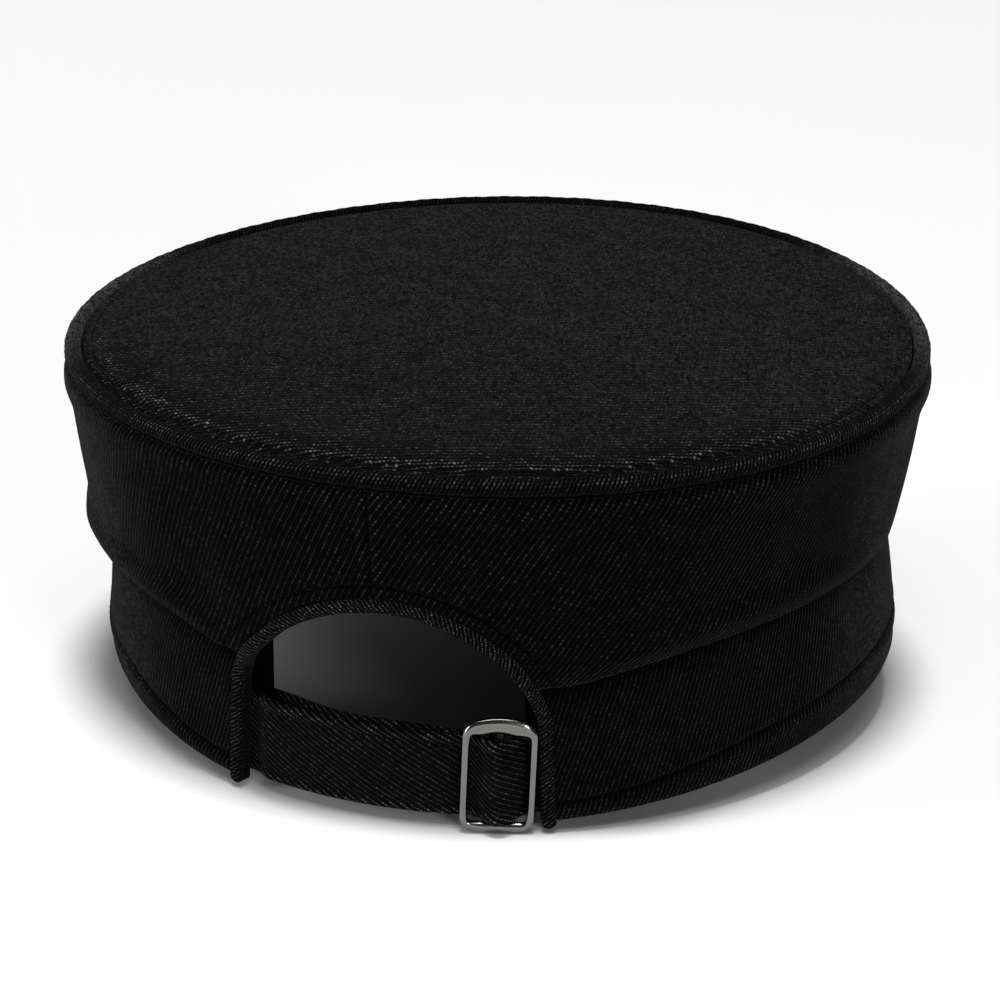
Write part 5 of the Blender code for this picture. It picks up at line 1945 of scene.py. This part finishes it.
@dataclass(frozen=True)
class Studio:
    """Plain pale floor, soft studio light and the photograph's camera."""

    azimuth: float = 194.87
    elevation: float = 19.17
    distance: float = 0.8245
    lens: float = 121.93
    roll: float = 1.45
    look_height: float = 34.3
    floor_half: float = 6.0
    floor_tones: tuple[Colour, Colour] = ((0.87, 0.87, 0.87), (0.89, 0.89, 0.89))
    sensor: float = 36.0
    clip_end: float = 50.0
    world: float = 0.07
    overhead: float = 2.68
    overhead_width: float = 12.0
    overhead_azimuth: float = 190.0
    overhead_elevation: float = 82.0
    lights: tuple[SoftLight, ...] = (
        SoftLight("high_back", 195.0, 58.0, 2.6, 1.3, 0.5, 12.0),
        SoftLight("low_right", 218.0, 12.0, 1.5, 0.28, 0.28, 5.0),
        SoftLight("low_left", 118.0, 12.0, 3.0, 1.0, 1.0, 34.0),
    )

    def add_floor(self) -> None:
        """Matt white floor with a faint unevenness of tone."""
        mesh = bpy.data.meshes.new("floor")
        half = self.floor_half
        corners = [(x * half, y * half, 0.0) for x, y in ((-1, -1), (1, -1), (1, 1), (-1, 1))]
        mesh.from_pydata(corners, [], [(0, 1, 2, 3)])
        board = Board("floor_white")
        tone = board.noise(board.object_place(), 3.0, 2.0)
        colour = board.mix(tone, *self.floor_tones)
        white = board.finish(colour, 0.9, board.bump(tone, 0.0001), {"Specular IOR Level": 0.1})
        mesh.materials.append(white)
        floor = bpy.data.objects.new("floor", mesh)
        bpy.context.scene.collection.objects.link(floor)

    def add_camera(self, target: Vector) -> None:
        """Camera on the photograph's line of sight, rolled by its small tilt."""
        back = sky_way(self.azimuth, self.elevation)
        right = Vector((math.cos(math.radians(self.azimuth)), math.sin(math.radians(self.azimuth)), 0.0))
        up = back.cross(right)
        roll = math.radians(self.roll)
        across = right * math.cos(roll) + up * math.sin(roll)
        upright = up * math.cos(roll) - right * math.sin(roll)
        data = bpy.data.cameras.new("photo_camera")
        data.lens = self.lens
        data.sensor_width = self.sensor
        data.clip_end = self.clip_end
        camera = bpy.data.objects.new("photo_camera", data)
        turn = Matrix((across, upright, back)).transposed().to_4x4()
        camera.matrix_world = Matrix.Translation(target + back * self.distance) @ turn
        bpy.context.scene.collection.objects.link(camera)
        bpy.context.scene.camera = camera

    def build(self, form: CapForm) -> None:
        """Set up floor, camera, lights, the pale surroundings and a plain view transform."""
        target = Vector(form.place(np.array([0.0, 0.0, self.look_height])).tolist())
        self.add_floor()
        self.add_camera(target)
        sky = bpy.data.lights.new("overhead_sky", "SUN")
        sky.energy = self.overhead
        sky.angle = math.radians(self.overhead_width)
        lamp = bpy.data.objects.new("overhead_sky", sky)
        way = sky_way(self.overhead_azimuth, self.overhead_elevation)
        lamp.rotation_euler = way.to_track_quat("Z", "Y").to_euler()
        bpy.context.scene.collection.objects.link(lamp)
        for light in self.lights:
            light.build(target)
        world = bpy.data.worlds.new("studio")
        world.use_nodes = True
        background = world.node_tree.nodes["Background"]
        background.inputs["Color"].default_value = (1.0, 1.0, 1.0, 1.0)
        background.inputs["Strength"].default_value = self.world
        bpy.context.scene.world = world
        bpy.context.scene.view_settings.view_transform = "Standard"


def main() -> None:
    """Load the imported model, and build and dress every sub-assembly."""
    logging.basicConfig(level=logging.INFO, format="%(message)s")
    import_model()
    shop = Workshop(CapForm(), Wardrobe())
    assemblies = (
        TopPanel(), CordedRim(), CrownSide(), Headband(), ArchBinding(), Lining(), Sweatband(), BackStrap(),
        SliderBuckle(), Peak(),
    )
    for assembly in assemblies:
        before = set(bpy.data.objects)
        assembly.build(shop)
        for made in sorted(set(bpy.data.objects) - before, key=lambda piece: piece.name):
            LOG.info("%s: %d faces", made.name, len(made.data.polygons))
    Studio().build(shop.form)
    bpy.context.view_layer.update()


if __name__ == "__main__":
    main()
